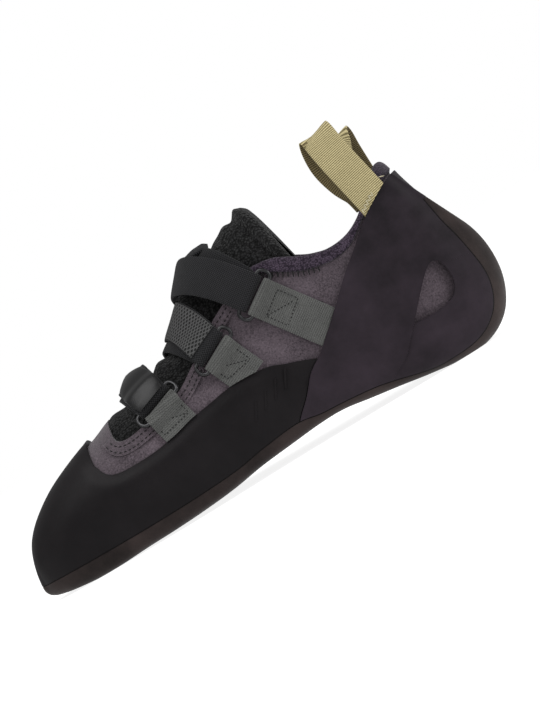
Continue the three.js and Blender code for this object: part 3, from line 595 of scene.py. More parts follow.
def knit(name, deep, light, scale, depth):
    finish, tree, shader = start_finish(name, 0.95, 0.08)
    loops = on_object(tree, "ShaderNodeTexVoronoi", scale).outputs["Distance"]
    shade_and_speckle = mix(tree, loops, 0.9, noise(tree, 160, 4), 0.5)
    # The hollows between the loops of the knit are painted darker than the loops: painted shade, with a
    # cloudy tone mixed in.
    blend_colours(tree, shader, shade_and_speckle, (0.3, light), (0.85, deep))
    relief(tree, shader, calc(tree, "SUBTRACT", 1.0, shade_and_speckle), depth, 0.9)
    shader.inputs["Sheen Weight"].default_value = 0.12
    return finish


tongue_mesh = knit("tongue_mesh", (0.0006, 0.0006, 0.0006), (0.019, 0.019, 0.0195), 900, 0.7)
collar_knit = knit("collar_knit", (0.0125, 0.00875, 0.01437), (0.0644, 0.0476, 0.07), 1300, 0.25)
print("materials so far:", len(bpy.data.materials))


# %% Webbing
def web_map(tree):
    flat = tree.nodes.new("ShaderNodeUVMap")
    flat.uv_map = "web"
    parts = tree.nodes.new("ShaderNodeSeparateXYZ")
    tree.links.new(flat.outputs["UV"], parts.inputs[0])
    return parts.outputs["X"], parts.outputs["Y"]


def wave(tree, source, pitch):
    """A rounded thread every so many millimetres."""
    return calc(tree, "SINE", calc(tree, "MULTIPLY", source, 2 * math.pi / pitch))


def half_up(tree, source):
    """A wave from -1 to 1, brought between 0 and 1."""
    return calc(tree, "ADD", calc(tree, "MULTIPLY", source, 0.5), 0.5)


def webbing(name, deep, light, along_pitch, across_pitch, depth, speckle, ribs=0.4):
    finish, tree, shader = start_finish(name, 0.85, 0.1)
    along, across = web_map(tree)
    weft = wave(tree, along, along_pitch)
    plain = calc(tree, "MULTIPLY", weft, wave(tree, across, across_pitch))
    height = half_up(tree, mix(tree, plain, 1 - ribs, weft, ribs))
    cloud = mix(tree, noise(tree, 1500, 3, 0.7), 0.7, noise(tree, 120, 3), 0.3)
    shade_and_speckle = mix(tree, height, 1 - speckle, cloud, speckle)
    # The low threads and the gaps of the weave are painted darker than the raised threads: painted shade,
    # mixed with a cloudy speckle of the yarn.
    blend_colours(tree, shader, shade_and_speckle, (0.2, deep), (0.8, light))
    relief(tree, shader, height, depth, 0.8)
    shader.inputs["Sheen Weight"].default_value = 0.06
    return finish


def open_mesh(name, deep, light, pitch, depth):
    """Hook and loop tape: threads cross at a slant, with small lozenges between them painted dark as shade.
    """
    finish, tree, shader = start_finish(name, 0.7, 0.25)
    along, across = web_map(tree)
    slant = calc(tree, "MULTIPLY", across, 0.6)
    one, two = (wave(tree, calc(tree, how, along, slant), pitch) for how in ("ADD", "SUBTRACT"))
    height = half_up(tree, calc(tree, "MAXIMUM", one, two))
    shade_and_speckle = mix(tree, height, 0.75, noise(tree, 400, 3), 0.25)
    # The low lozenges between the threads are painted dark: painted shade.
    blend_colours(tree, shader, shade_and_speckle, (0.45, deep), (0.86, light))
    relief(tree, shader, height, depth, 0.9)
    return finish


grey_web = webbing("grey_web", (0.012, 0.0122, 0.012), (0.118, 0.12, 0.115), 0.95, 1.0, 0.24, 0.6)
black_web = webbing("black_web", (0.0015, 0.0015, 0.0017), (0.022, 0.022, 0.0238), 1.1, 1.2, 0.3, 0.3, 0.1)
olive_web = webbing("olive_web", (0.09, 0.072, 0.03), (0.5, 0.43, 0.235), 0.85, 1.1, 0.2, 0.3, 0.8)
# A darker copy of the olive webbing for the faces inside each loop: painted shade.
olive_web_painted_shade = webbing("olive_web_painted_shade", (0.03, 0.023, 0.01), (0.16, 0.125, 0.062), 0.85, 1.1, 0.2, 0.3, 0.8)
hook_web = open_mesh("hook_web", (0.0015, 0.0015, 0.0015), (0.055, 0.055, 0.055), 1.8, 0.45)

# %% Wire
wire_metal, tree, shader = start_finish("wire_metal", 0.32, 0.5)
shader.inputs["Metallic"].default_value = 0.85
blend_colours(tree, shader, noise(tree, 300, 3), (0.3, (0.022, 0.022, 0.023)), (0.8, (0.05, 0.05, 0.052)))
relief(tree, shader, noise(tree, 900, 2), 0.02, 0.4)
print("materials in all:", len(bpy.data.materials))

# %% [markdown]
# ## Outsole and rands
# The sole is one sheet of rubber from the toe up the back of the heel. The rands are
# thinner rubber on the sides: one round the toe, a slanted band that pulls the heel
# forward, and a cup under the heel. All are cut from layers on the same last, so that
# they meet in thin seams as on the real shoe.

# %% Outsole
SEAM, SEAM_AT_SOLE = 0.35, 0.4  # how far a rand stays off the next piece


def name_of(piece, name):
    piece.name = piece.data.name = name


lowest = prism("lowest", corners((-20, 0), (130, 0), (130, -40), (-20, -40)))
rubber_form = cut(layer_of_rubber("rubber_form", RAND), lowest, keep=True)
band_form = cut(layer_of_rubber("band_form", BAND), lowest, keep=True)
gap_form = layer_of_last("gap_form", GAP)

sole = cut(rubber_form, prism("sole_side", SOLE_SIDE), "INTERSECT")
name_of(sole, "rubber_outsole")
cut(sole, gap_form, keep=True)
hand_over(sole, ["outsole"], sole_rubber)

# %% Rands
def smooth_step(value):
    value = np.clip(value, 0, 1)
    return value * value * (3 - 2 * value)


def from_line(points, line):
    """How far each point is from a line, in the side view."""
    flat = points[..., None, [0, 2]]
    a, run = line[:-1], np.diff(line, axis=0)
    share = np.clip(((flat - a) * run).sum(-1) / (run ** 2).sum(-1), 0, 1)
    return np.linalg.norm(flat - a - share[..., None] * run, axis=-1).min(-1)


SKIVED, SKIVED_WIDTH = 0.9, 6  # thickness of the toe rand at its edge, and how soon it is whole
skin_u, skin_v = np.linspace(0, END, 230)[:, None], (np.arange(150) / 150)[None]
flat_skin = last_points(skin_u, skin_v)
whole_share = smooth_step(from_line(flat_skin, smooth_line(TOE_RAND_TOP[1:])) / SKIVED_WIDTH)
toe_form = closed_rings("toe_form", rubber_points(skin_u, skin_v, SKIVED + (RAND - SKIVED) * whole_share))
cut(toe_form, lowest, keep=True)
toe_rand = cut(toe_form, prism("toe_side", TOE_RAND_SIDE), "INTERSECT")
name_of(toe_rand, "rubber_toe_rand")
cut(toe_rand, prism("sole_cut", grown(SOLE_SIDE, SEAM_AT_SOLE)))
cut(toe_rand, gap_form, keep=True)
hand_over(toe_rand, ["toe_rand"], rand_rubber)

band = cut(band_form, prism("band_side", BAND_SIDE), "INTERSECT")
name_of(band, "rubber_tension_band")
cut(band, prism("toe_cut", grown(TOE_RAND_SIDE, SEAM)))
cut(band, prism("sole_cut", grown(SOLE_SIDE, SEAM_AT_SOLE)))
cut(band, prism("window_cut", WINDOW_SIDE))
cut(band, gap_form, keep=True)
hand_over(band, ["tension_rand"], heel_rubber_painted_light)

MEETS_BAND_FROM, MEETS_BAND_OVER = 27, 12  # above this height the cup comes level with the band
level = smooth_step((flat_skin[..., 2] - MEETS_BAND_FROM) / MEETS_BAND_OVER)
cup_form = cut(closed_rings("cup_form", rubber_points(skin_u, skin_v, RAND + (BAND - RAND) * level)), lowest)
cup = cut(cup_form, prism("cup_side", CUP_SIDE), "INTERSECT")
name_of(cup, "rubber_heel_cup")
cut(cup, prism("band_cut", grown(BAND_SIDE, 0.02)))
cut(cup, prism("sole_cut", grown(SOLE_SIDE, SEAM_AT_SOLE)))
cut(cup, prism("window_cut", WINDOW_SIDE))
cut(cup, gap_form)
hand_over(cup, ["heel_cup"], heel_rubber_painted_light)

# %% [markdown]
# ## Upper
# The upper is a bag of microfibre with a thin lining. Its outer face gets a few soft
# troughs where the foot bends it, then it is cut open at the collar, at the throat and
# along the lasting margin underneath.

# %% Upper
CREASES = [  # start and end in per cent of length and instep, depth and width in mm
    ((42.5, 52), (47.5, 45), 0.7, 4), ((53, 66), (60, 50), 0.8, 5),
    ((56, 58), (61.5, 42), 0.6, 4), ((66, 66), (76, 62), 0.5, 5), ((30, 44), (33, 38), 0.4, 4),
    ((22.5, 50), (25, 40), 0.4, 4),
]


def crease_depth(points):
    depth = np.zeros(points.shape[:-1])
    for start, end, deep, wide in CREASES:
        a, b = corners(start, end)
        run = b - a
        flat = points[..., [0, 2]]
        share = np.clip(((flat - a) @ run) / (run @ run), 0, 1)
        away = np.linalg.norm(flat - a - share[..., None] * run, axis=-1)
        depth -= deep * np.exp(-(away / wide) ** 2) - 0.5 * deep * np.exp(-((away - 2 * wide) / wide) ** 2)
    return depth


ripple = 0.15 * np.sin(flat_skin[..., 0] / 5.3) * np.sin(flat_skin[..., 2] / 4.1)
soft = np.clip(crease_depth(flat_skin) + ripple, -1.2, 0.1) - 0.1
upper = closed_rings("cloth_upper", flat_skin + last_normals(skin_u, skin_v) * soft[..., None])
cut(upper, layer_of_last("inside", -WALL))
collar_line = np.concatenate([smooth_line(COLLAR_LOW), corners((112, 93), (112, 140), (59.5, 140))])
cut(upper, prism("collar_cut", collar_line))
RIDGE_Y = -0.22 * HALF_WIDTH
for table, from_y, to_y in ((THROAT_MEDIAL, -80, RIDGE_Y), (THROAT_LATERAL, RIDGE_Y - 1, 80)):
    throat_line = np.concatenate([smooth_line(table), corners((61, 140), (25.4, 140))])
    cut(upper, prism("throat", throat_line, from_y, to_y))


def plan_prism(name, inset, low, high):
    """The lasting opening in plan, drawn in from the sole's edge, as a tall block."""
    row = last_at(np.arange(2.5, 18.1, 0.5))
    x = row["base_x"] * LENGTH / 100
    medial = np.stack([x, -row["medial"] * HALF_WIDTH / 100 + inset], -1)
    lateral = np.stack([x, row["lateral"] * HALF_WIDTH / 100 - inset], -1)
    outline = np.concatenate([medial, lateral[::-1]])
    points = np.concatenate([outline, np.full((len(outline), 1), float(low))], 1)
    return extruded(name, points, (0, 0, high - low))


cut(upper, plan_prism("lasting_cut", MARGIN, -30, 22))
hand_over(upper, ["upper"], microfibre)

# %% Insole
bed = last_at(np.arange(1.5, 19.1, 0.5))
bed_rise = WALL + GAP + FOOTBED
bed_top = np.stack([bed["base_x"] * LENGTH / 100, bed["base_z"] * INSTEP / 100 + bed_rise], -1)
bed_side = np.concatenate([corners((-5, 14)), bed_top, corners((105, 18), (105, -20), (-5, -20))])
insole = cut(layer_of_last("footbed", -WALL - GAP), prism("bed_side", bed_side), "INTERSECT")
hand_over(insole, ["insole"], footbed_cloth)

# %% [markdown]
# ## Seams
# Between the sole and the rands runs a thin groove. Its floor is a narrow strip of the
# rubber form, a little below the surface and black: painted shade, so no light shows through.

# %% Painted shade in the groove of the sole
GROOVE_SHADE_BELOW, GROOVE_SHADE_OUT, GROOVE_SHADE_IN = 0.45, 0.55, -0.15
groove_shade = layer_of_rubber("groove_shade", RAND - GROOVE_SHADE_BELOW, 160, 110)
cut(groove_shade, prism("groove_shade_out", grown(SOLE_SIDE, GROOVE_SHADE_OUT)), "INTERSECT")
cut(groove_shade, prism("groove_shade_in", grown(SOLE_SIDE, GROOVE_SHADE_IN)))
cut(groove_shade, layer_of_last("groove_shade_gap", GAP))
# The strip is black, in the thread finish: painted shade for the groove's dark line.
hand_over(groove_shade, [], thread_black)

# %% [markdown]
# ## Collar
# The edge of the ankle opening is a padded roll of knitted cloth. Its section is drawn
# as a rounded pad that stands on the last, and it is carried round the opening from one
# side of the tongue to the other.

# %% Collar
top_line, low_line = smooth_line(COLLAR_TOP, 10), smooth_line(COLLAR_LOW, 10)


def collar_edge(line, back_x, clear):
    """An edge of the pad in the side view, from the tongue to the middle of the back."""
    x = np.interp(front_share, [0, 1], [60.3 * LENGTH / 100, back_x])
    return np.stack([x, np.interp(x, line[:, 0], line[:, 1]) + clear], -1)


BACK_X = 229.0
front_share = np.linspace(0, 1, 70)
tops, lows = collar_edge(top_line, BACK_X, 0), collar_edge(low_line, BACK_X + 2, 0.12)


def collar_rings(lateral):
    turn = np.linspace(0, 2 * np.pi, 36, endpoint=False)
    square = np.where(np.cos(turn) > 0, 0.3, 0.8)
    height = 0.5 - 0.5 * np.sign(np.cos(turn)) * np.abs(np.cos(turn)) ** square
    puff = np.sign(np.sin(turn)) * np.abs(np.sin(turn)) ** np.where(np.cos(turn) > 0, 0.45, 0.75)
    thick = np.interp(front_share, [0, 0.1, 0.35, 1], [1.3, 1.4, 2.6, 2.7])[:, None]
    middle = np.interp(front_share, [0, 0.1, 0.35, 1], [0.2, 0.2, -1.3, -1.5])[:, None]
    x = lows[:, :1] + (tops - lows)[:, :1] * height
    z = lows[:, 1:] + (tops - lows)[:, 1:] * height
    u, v = find_on_last(x, z, lateral)
    wrinkle = 0.12 * np.sin(x / 2.1 + z / 5) + 0.1 * np.sin(x / 3.7 - z / 3)
    return offset_points(u, v, middle + puff * (thick + wrinkle))


collar = closed_rings("cloth_collar", np.concatenate([collar_rings(False), collar_rings(True)[::-1]]))
hand_over(collar, ["collar"], collar_knit, 60)

# %% [markdown]
# ## Tongue
# The tongue is padded mesh cloth. It starts under the throat, follows the ridge of the
# last and stands up above the collar, with wings that tuck in at both sides. It is a
# pad whose thickness dies away at its edges. It puffs up between the straps, is rolled
# at its tip and has a few waves.

# %% Tongue
TONGUE_EDGE = corners((23.5, 39), (32, 40), (38.5, 43), (44, 50), (52, 61), (60, 66), (66.5, 66), (69.8, 69))
TONGUE_FROM, TONGUE_TO = 5.6, 14.2  # where its ridge starts and ends, in rows of the last
PUFFS = [(66, 2.0, 5), (96, 1.6, 3.5), (122.5, 6.5, 3.2)]  # place, height and width in mm


def bump_at(value, middle, wide):
    return np.exp(-((value - middle) / wide) ** 2)


length_share, across_share = np.linspace(0, 1, 150), np.linspace(-1, 1, 90)[None]
edge_x, edge_z = np.stack([np.interp(length_share, np.linspace(0, 1, len(TONGUE_EDGE)), line)
                           for line in TONGUE_EDGE.T])
ridge_u = TONGUE_FROM + (TONGUE_TO - TONGUE_FROM) * length_share
(medial_u, medial_v), (lateral_u, lateral_v) = (find_on_last(edge_x, edge_z, side) for side in (False, True))
pull = np.abs(across_share)
side_u = np.where(across_share < 0, medial_u[:, None], lateral_u[:, None])
side_v = np.where(across_share < 0, medial_v[:, None], lateral_v[:, None])
tongue_u = ridge_u[:, None] * (1 - pull ** 1.3) + side_u * pull ** 1.3
tongue_v = 0.5 * (1 - pull) + side_v * pull
w = length_share[:, None]
fade = 1 - np.clip((pull - 0.9) / 0.1, 0, 1) ** 2
fade = fade * np.sqrt(np.clip((1 - w) / 0.025, 0, 1)) * np.sqrt(np.clip(w / 0.02, 0, 1))
spine = last_points(tongue_u, tongue_v)
x, y, z = (spine[..., k] for k in range(3))
rumple = 0.45 * np.sin(x / 4.6 + y / 7) + 0.35 * np.sin(z / 3.1 - y / 4.3) + 0.2 * np.sin(x / 1.9 + z / 2.3)
free = np.clip((w - 0.74) / 0.1, 0, 1)
puffs = sum(high * bump_at(x, place_x, wide) for place_x, high, wide in PUFFS)
roll, dip = 0.9 * bump_at(w, 0.968, 0.014), -1.6 * bump_at(w, 0.925, 0.02)
middle = -4.2 + 0.5 * free + puffs * np.exp(-(across_share / 0.42) ** 4) + dip
half = (2.0 + 0.3 * free + roll) * fade + 0.05
outer = offset_points(tongue_u, tongue_v, middle + half + rumple * 0.6 * (0.3 + free))
inner = offset_points(tongue_u, tongue_v, middle - half + rumple * 0.3 * (0.3 + free))
tongue = closed_rings("cloth_tongue", np.concatenate([outer, inner[:, ::-1]], axis=1))
hand_over(tongue, ["tongue"], tongue_mesh, 60)

# %% [markdown]
# ## Webbing
# A strip of webbing is a flat band with rounded edges that is carried along a path. Its
# map runs in millimetres along and across it, for the weave.

# %% Strip of webbing
def strip(name, at, wide, through, half, thick, round_edge=0.45, crown=0.0):
    """A band along a path, with its directions across the band and through it."""
    count = 28
    turn = np.linspace(0, 2 * np.pi, count, endpoint=False)
    p = np.sign(np.cos(turn)) * np.abs(np.cos(turn)) ** 0.5
    q = np.sign(np.sin(turn)) * np.abs(np.sin(turn)) ** round_edge
    at, wide, through = (np.asarray(a, float) for a in (at, wide, through))
    half = np.broadcast_to(np.asarray(half, float), (len(at),))
    thick = np.broadcast_to(np.asarray(thick, float), (len(at),))
    rings = at[:, None] + wide[:, None] * (half[:, None] * p)[..., None] \
        + through[:, None] * (thick[:, None] / 2 * q + crown * (1 - p ** 2))[..., None]
    along_it = np.broadcast_to(way_along(at)[:, None], (len(at), count))
    return closed_rings(name, rings, uv=np.stack([along_it, half[:, None] * p], -1).reshape(-1, 2))


STRAPS = {
    "toe": {"tab_top": [[31.9, 47.8], [39.4, 54.8]], "tab_foot": [[33.8, 33], [41.4, 36]],
            "cross": 32.4, "back": 33.2, "end": (33.5, 41), "fold": 28, "lift": 0.3,
            "over": 0, "tilt": 0},
    "mid": {"tab_top": [[45.8, 55], [52.2, 63.5]], "tab_foot": [[48.4, 41], [56, 42]],
            "cross": 43.4, "back": 45.2, "end": (43.4, 44), "fold": 25, "lift": 0.2,
            "over": 0, "tilt": 0},
    "top": {"tab_top": [[57.4, 66.5], [63.2, 76.5]], "tab_foot": [[66.9, 33.5], [72, 46.5]],
            "cross": 52.8, "back": 50.6, "end": (52, 50), "fold": 40, "lift": 1.2,
            "over": 3.15, "tilt": 25},
}
LAYER, RISE = GAP + WEB_THICK / 2, 0.6
CLEAR_OF_BAR = 5  # how far above the ring's bar a strap lies flat again
BAR_HEIGHT, BAR_UP = GAP + WEB_THICK + GAP + WIRE / 2 + 0.2, -2.8


def station(strap):
    """Where a ring stands: its surface point and its directions along, out and up."""
    tops = corners(*strap["tab_top"])
    u, v = find_on_last(tops[:, 0], tops[:, 1])
    ends = last_points(u, v)
    middle = ends.mean(0)
    u, v = find_on_last(middle[0], middle[2])
    along = unit(ends[1] - ends[0])
    out = last_normals(u, v)
    out = unit(out - along * (out @ along))
    up_way = unit(np.cross(along, out))
    return {"u": float(u), "v": float(v), "surface": last_points(u, v), "along": along,
            "out": out, "up": up_way if up_way[2] > 0 else -up_way}


def place(here, a, b, n):
    a, b, n = (np.asarray(q, float)[..., None] for q in (a, b, n))
    return here["surface"] + here["along"] * a + here["up"] * b + here["out"] * n


stations = {name: station(strap) for name, strap in STRAPS.items()}
print("rings at:", {name: here["surface"].round(1).tolist() for name, here in stations.items()})

# %% [markdown]
# ## Wire rings
# Each ring is one piece of wire bent to a flat loop, with a straight bar for the tab
# and another for the strap. A round section is carried along that path.

# %% Rings
def wire_ring(name, here):
    half, bend, side = WEB / 2 + 0.5, RING_DEPTH / 2, 0.35 * RING_DEPTH
    turn = np.linspace(0, np.pi, 17)
    path = np.concatenate([np.stack([half + side * np.sin(turn), bend * (1 - np.cos(turn))], -1),
                           np.stack([-half - side * np.sin(turn), bend * (1 + np.cos(turn))], -1)])
    run = unit(np.roll(path, -1, 0) - np.roll(path, 1, 0))
    round_way = np.linspace(0, 2 * np.pi, 16, endpoint=False)
    out, high = WIRE / 2 * np.cos(round_way), WIRE / 2 * np.sin(round_way)
    rings = place(here, path[:, :1] + run[:, 1:] * out, BAR_UP + path[:, 1:] - run[:, :1] * out,
                  BAR_HEIGHT + np.broadcast_to(high, (len(path), 16)))
    return closed_rings(name, rings, loop=True)


for name, here in stations.items():
    hand_over(wire_ring("wire_ring_" + name, here), ["ring_" + name], wire_metal, 60)

# %% [markdown]
# ## Tabs
# Each ring hangs in a tab of grey webbing: it comes up from under the rand, goes over
# the ring's lower bar and folds back under itself. A box of stitches holds the fold.

# %% Tabs
TAB_OUT = 1.2  # the middle of a tab, outside the last


def tab_path(strap, here):
    top, foot = corners(*strap["tab_top"]), corners(*strap["tab_foot"])
    share = np.linspace(0, 1, 34)
    whole = top.mean(0) - foot.mean(0)
    line = foot.mean(0) + whole * (1 + BAR_UP / np.linalg.norm(whole)) * share[:, None]
    u, v = find_on_last(line[:, 0], line[:, 1])
    length = np.linalg.norm(last_points(u[-1], v[-1]) - last_points(u[0], v[0]))
    climb = np.clip(1 - (1 - share) * length / 5.0, 0, 1)
    bend = WIRE / 2 + GAP + 0.7
    out = TAB_OUT + (BAR_HEIGHT + bend - TAB_OUT) * climb ** 2 * (3 - 2 * climb)
    at = offset_points(u, v, out)
    turn = np.linspace(np.pi / 2, -np.pi / 2, 12)
    fold = place(here, 0, BAR_UP + bend * np.cos(turn), BAR_HEIGHT + bend * np.sin(turn))
    end = place(here, 0, np.array([-1.0, -2.5]), np.array([1.3, 1.1]))
    at = np.concatenate([at[:-3], fold, end])
    run = unit(np.gradient(at, axis=0))
    wide = np.broadcast_to(here["along"], at.shape)
    wide = unit(wide - run * (wide * run).sum(-1, keepdims=True))
    return at, wide, unit(np.cross(run, wide))


for name, strap in STRAPS.items():
    tab = strip("web_tab_" + name, *tab_path(strap, stations[name]), WEB / 2, TAB_THICK)
    cut(tab, prism("tab_rand", grown(TOE_RAND_SIDE, 0.15)))
    cut(tab, prism("tab_band", grown(BAND_SIDE, 0.15)))
    hand_over(tab, ["web_tab_" + name], grey_web)

# %% [markdown]
# ## Straps
# A strap starts at the outer side, crosses the tongue, goes through its ring and folds
# back on itself, with hooks and loops between the two layers.

# %% Strap paths
def strap_way(strap, here, cross_x):
    """From the ring over the ridge to the far end, as u and v of the last."""
    u3, v3 = (float(q) for q in find_on_last(*corners(strap["end"])[0], True))
    steps = np.linspace(0, END, 1300)
    _, _, heads = plane_at(steps, 0, 0, 0)
    ridge = float(np.interp(cross_x * LENGTH / 100, heads[:, 0], steps))
    share = (0.5 - here["v"]) / (v3 - here["v"])
    bow = (ridge - here["u"] - (u3 - here["u"]) * share) / (share * (1 - share))
    s = np.linspace(0, 1, 137)
    return here["u"] + (u3 - here["u"]) * s + bow * s * (1 - s), here["v"] + (v3 - here["v"]) * s


def on_surface(way, out):
    u, v = way
    at = offset_points(u, v, np.broadcast_to(out, u.shape))
    through = last_normals(u, v)
    run = unit(np.gradient(last_points(u, v), axis=0))
    return at, unit(np.cross(run, through)), through


def strap_places(strap, here):
    """The whole way of a strap, and its free layer from the ring on."""
    way, way_back = strap_way(strap, here, strap["cross"]), strap_way(strap, here, strap["back"])
    bar = place(here, 0, BAR_UP + RING_DEPTH, BAR_HEIGHT)
    bend = WIRE / 2 + GAP + WEB_THICK / 2
    at, wide, through = on_surface(way, LAYER + RISE)
    clear = int(np.argmax((at - bar) @ here["up"] > CLEAR_OF_BAR))
    flip = -1 if wide[clear] @ here["along"] < 0 else 1
    lengths = way_along(last_points(*way_back))
    end = int(np.searchsorted(lengths, lengths[clear] + strap["fold"]))
    step = np.arange(len(at)) - clear
    share = np.clip(step / (end - clear), 0, None)
    over = np.maximum(strap["over"], 2 - step / 4 * 0.8) + strap["lift"] * share ** 1.5
    at2, wide2, through2 = on_surface(way_back, LAYER + RISE + WEB_THICK + GAP + over)
    turned = (np.radians(strap["tilt"]) * share ** 4 * np.sign(wide2[:, 0]))[:, None]
    wide2, through2 = (wide2 * np.cos(turned) + through2 * np.sin(turned),
                       through2 * np.cos(turned) - wide2 * np.sin(turned))
    turn = np.linspace(0, np.pi, 15)[:, None]
    fold = bar - here["up"] * bend * np.sin(turn) - here["out"] * bend * np.cos(turn)
    fold_through = here["out"] * np.cos(turn) + here["up"] * np.sin(turn)
    fold_wide = np.broadcast_to(here["along"] * flip, fold.shape)
    whole = [np.concatenate([a[clear:][::-1], b, c[clear:end + 1]])
             for a, b, c in ((at, fold, at2), (wide, fold_wide, wide2), (through, fold_through, -through2))]
    after = len(at) - clear + 9
    return whole, (whole[0][after:], whole[1][after:], -whole[2][after:])


strap_tops = {}
for name, strap in STRAPS.items():
    whole, strap_tops[name] = strap_places(strap, stations[name])
    band = strip("web_strap_" + name, *whole, WEB / 2, WEB_THICK - 0.1)
    hand_over(band, ["strap_" + name], black_web)

# %% [markdown]
# ## Ends of the straps
# The toe strap ends in a pointed grip of moulded rubber. The middle strap shows its
# coarse hook tape, and the top strap has a thick rolled end to pull on.

# %% Strap ends
def laid_on(name, strap_name, start, stop, half, thick, lift, crown=0.0):
    """A piece on top of a strap's free layer, from one place on its way to another."""
    at, wide, through = strap_tops[strap_name]
    way, s = way_along(at), np.linspace(start, STRAPS[strap_name]["fold"] + stop, 24)
    here_at, here_wide, here_through = at_way(s, way, at, wide, through)
    here_at = here_at + unit(at[-1] - at[-3]) * np.maximum(s - way[-1], 0)[:, None]
    on_top = here_at + unit(here_through) * (WEB_THICK / 2 + lift)
    return strip(name, on_top, unit(here_wide), unit(here_through), half, thick, 0.6, crown)


GRIP_SHARES, GRIP_HALVES = [0, 0.1, 0.35, 0.7, 0.9, 1], [7.6, 8.8, 9.0, 7.6, 3.8, 0.6]
grip_half = np.interp(np.linspace(0, 1, 24), GRIP_SHARES, GRIP_HALVES)
grip = laid_on("grip_toe_strap", "toe", 1.6, 5, grip_half, 1.6, 0.65, crown=1.0)
hand_over(grip, [], grip_rubber, 50)

hook = laid_on("hook_tape_mid", "mid", 5, 5.7, WEB / 2 - 0.5, 0.7, 0.25)
hand_over(hook, [], hook_web)

LIP = np.array([(126, -8, 98.8), (130, -8.5, 101.4), (136, -8.5, 103), (141, -8.5, 103.2), (143, -8, 101.8)])
LIP_LEAN = np.array([0.1, 0.85, 0.35])
(lip_at,) = at_way(np.linspace(0, 1, 22), np.linspace(0, 1, len(LIP)), LIP)
lip_run = unit(np.gradient(lip_at, axis=0))
lip_wide = unit(LIP_LEAN - lip_run * (lip_run @ LIP_LEAN)[:, None])
lip = strip("lip_top_strap", lip_at, lip_wide, unit(np.cross(lip_run, lip_wide)), 3.4, 2.2, 0.8)
hand_over(lip, [], black_web)

# %% [markdown]
# ## Pull loops
# Two loops of olive webbing at the heel, to pull the shoe on. Each starts outside the
# collar, turns over at the top and comes down inside it.

# %% Pull loops
LOOP_WAY = [  # x and z in per cent, and millimetres outside the last
    (87.2, 76, 2.9), (86.8, 82, 2.9), (86, 92, 2.9), (85, 104, 1.6),
    (84.4, 112, -0.5), (84, 118.5, -3.5), (83.6, 119.2, -6.5), (83, 113, -9.5),
    (83, 105, -11), (84, 96, -9.5), (85.4, 89, -7.2), (86.1, 82, -6.6),
]
OVER_COLLAR = 86
LOOP_LEAN = unit(np.array([0.96, 0, 0.28]))


def pull_loop(name, sign, back=0.0, drop=0.0):
    """A loop that leans back and ends lower above the collar, with painted shade on its inner faces."""
    line = []
    for x, z, out in LOOP_WAY:
        u, v = find_on_last(x * LENGTH / 100, min(z, OVER_COLLAR) * INSTEP / 100, sign > 0)
        over = max(0, z - OVER_COLLAR)
        x, z = (x + back * over) * LENGTH / 100, (z - drop * over) * INSTEP / 100
        line.append((x, last_points(u, v)[1] + sign * out, z))
    at = through_points(np.array(line), 8)
    run = unit(np.gradient(at, axis=0))
    wide = unit(LOOP_LEAN - run * (run @ LOOP_LEAN)[:, None])
    loop = strip("web_loop_" + name, at, wide, unit(np.cross(run, wide)), LOOP_WEB / 2, LOOP_THICK)
    cut(loop, prism("loop_band", grown(BAND_SIDE, 0.2)))
    hand_over(loop, ["pull_loop_" + name], olive_web)
    loop.data.materials.append(olive_web_painted_shade)
    # Faces that look into the loop take the darker copy: painted shade.
    middle = at.mean(0) + SHIFT
    for face in loop.data.polygons:
        if (middle - np.array(face.center) * 1000) @ np.array(face.normal) > 0.5:
            face.material_index = 1


pull_loop("medial", -1)
pull_loop("lateral", 1, back=0.075, drop=0.15)

# %% [markdown]
# ## Stitches
# A stitch is a short thread, thick in the middle and thin at both ends. Rows of stitches
# run along the throat and round the boxes on the tabs. The collar has short ticks across
# its edge, and the feet of the pull loops have zigzags.

# %% Stitches
def stitches(name, starts, ends, outs, thick, finish):
    starts, ends, outs = (np.asarray(a, float) for a in (starts, ends, outs))
    share = np.linspace(0, 1, 6)
    turn = np.linspace(0, 2 * np.pi, 6, endpoint=False)
    side = unit(np.cross(unit(ends - starts), outs))
    grain = np.sqrt(np.clip(1 - (2 * share - 1) ** 2, 0.06, 1)) * thick / 2
    at = starts[:, None] + (ends - starts)[:, None] * share[:, None] + outs[:, None] * (grain[:, None] * 0.5)
    around = side[:, None, None] * np.cos(turn)[:, None] + outs[:, None, None] * np.sin(turn)[:, None]
    points = at[:, :, None] + grain[None, :, None, None] * around
    base = (np.arange(len(starts)) * 36)[:, None]
    faces = []
    for i in range(5):
        for j in range(6):
            k = (j + 1) % 6
            faces.append(base + np.array([i * 6 + j, i * 6 + k, i * 6 + 6 + k, i * 6 + 6 + j]))
    faces = np.concatenate(faces).tolist()
    for b in base[:, 0]:
        faces += [[b + j for j in range(5, -1, -1)], [b + 30 + j for j in range(6)]]
    return hand_over(make_mesh(name, points.reshape(-1, 3), faces), [], finish, 60)


def spaced(line, length, gap):
    """Where stitches start and end along a line."""
    way = way_along(line)
    starts = np.arange(0.5, way[-1] - length, length + gap)
    return at_way(starts, way, line)[0], at_way(starts + length, way, line)[0]


def on_side(flat, out, lateral):
    """Places in the side view, brought to the shoe, and the way out from there."""
    u, v = find_on_last(flat[:, 0], flat[:, 1], lateral)
    return offset_points(u, v, np.full(len(u), out)), last_normals(u, v)


def row_on_last(line, length, gap, out, lateral=False):
    (starts, outs), (ends, _) = (on_side(flat, out, lateral) for flat in spaced(line, length, gap))
    return starts, ends, outs


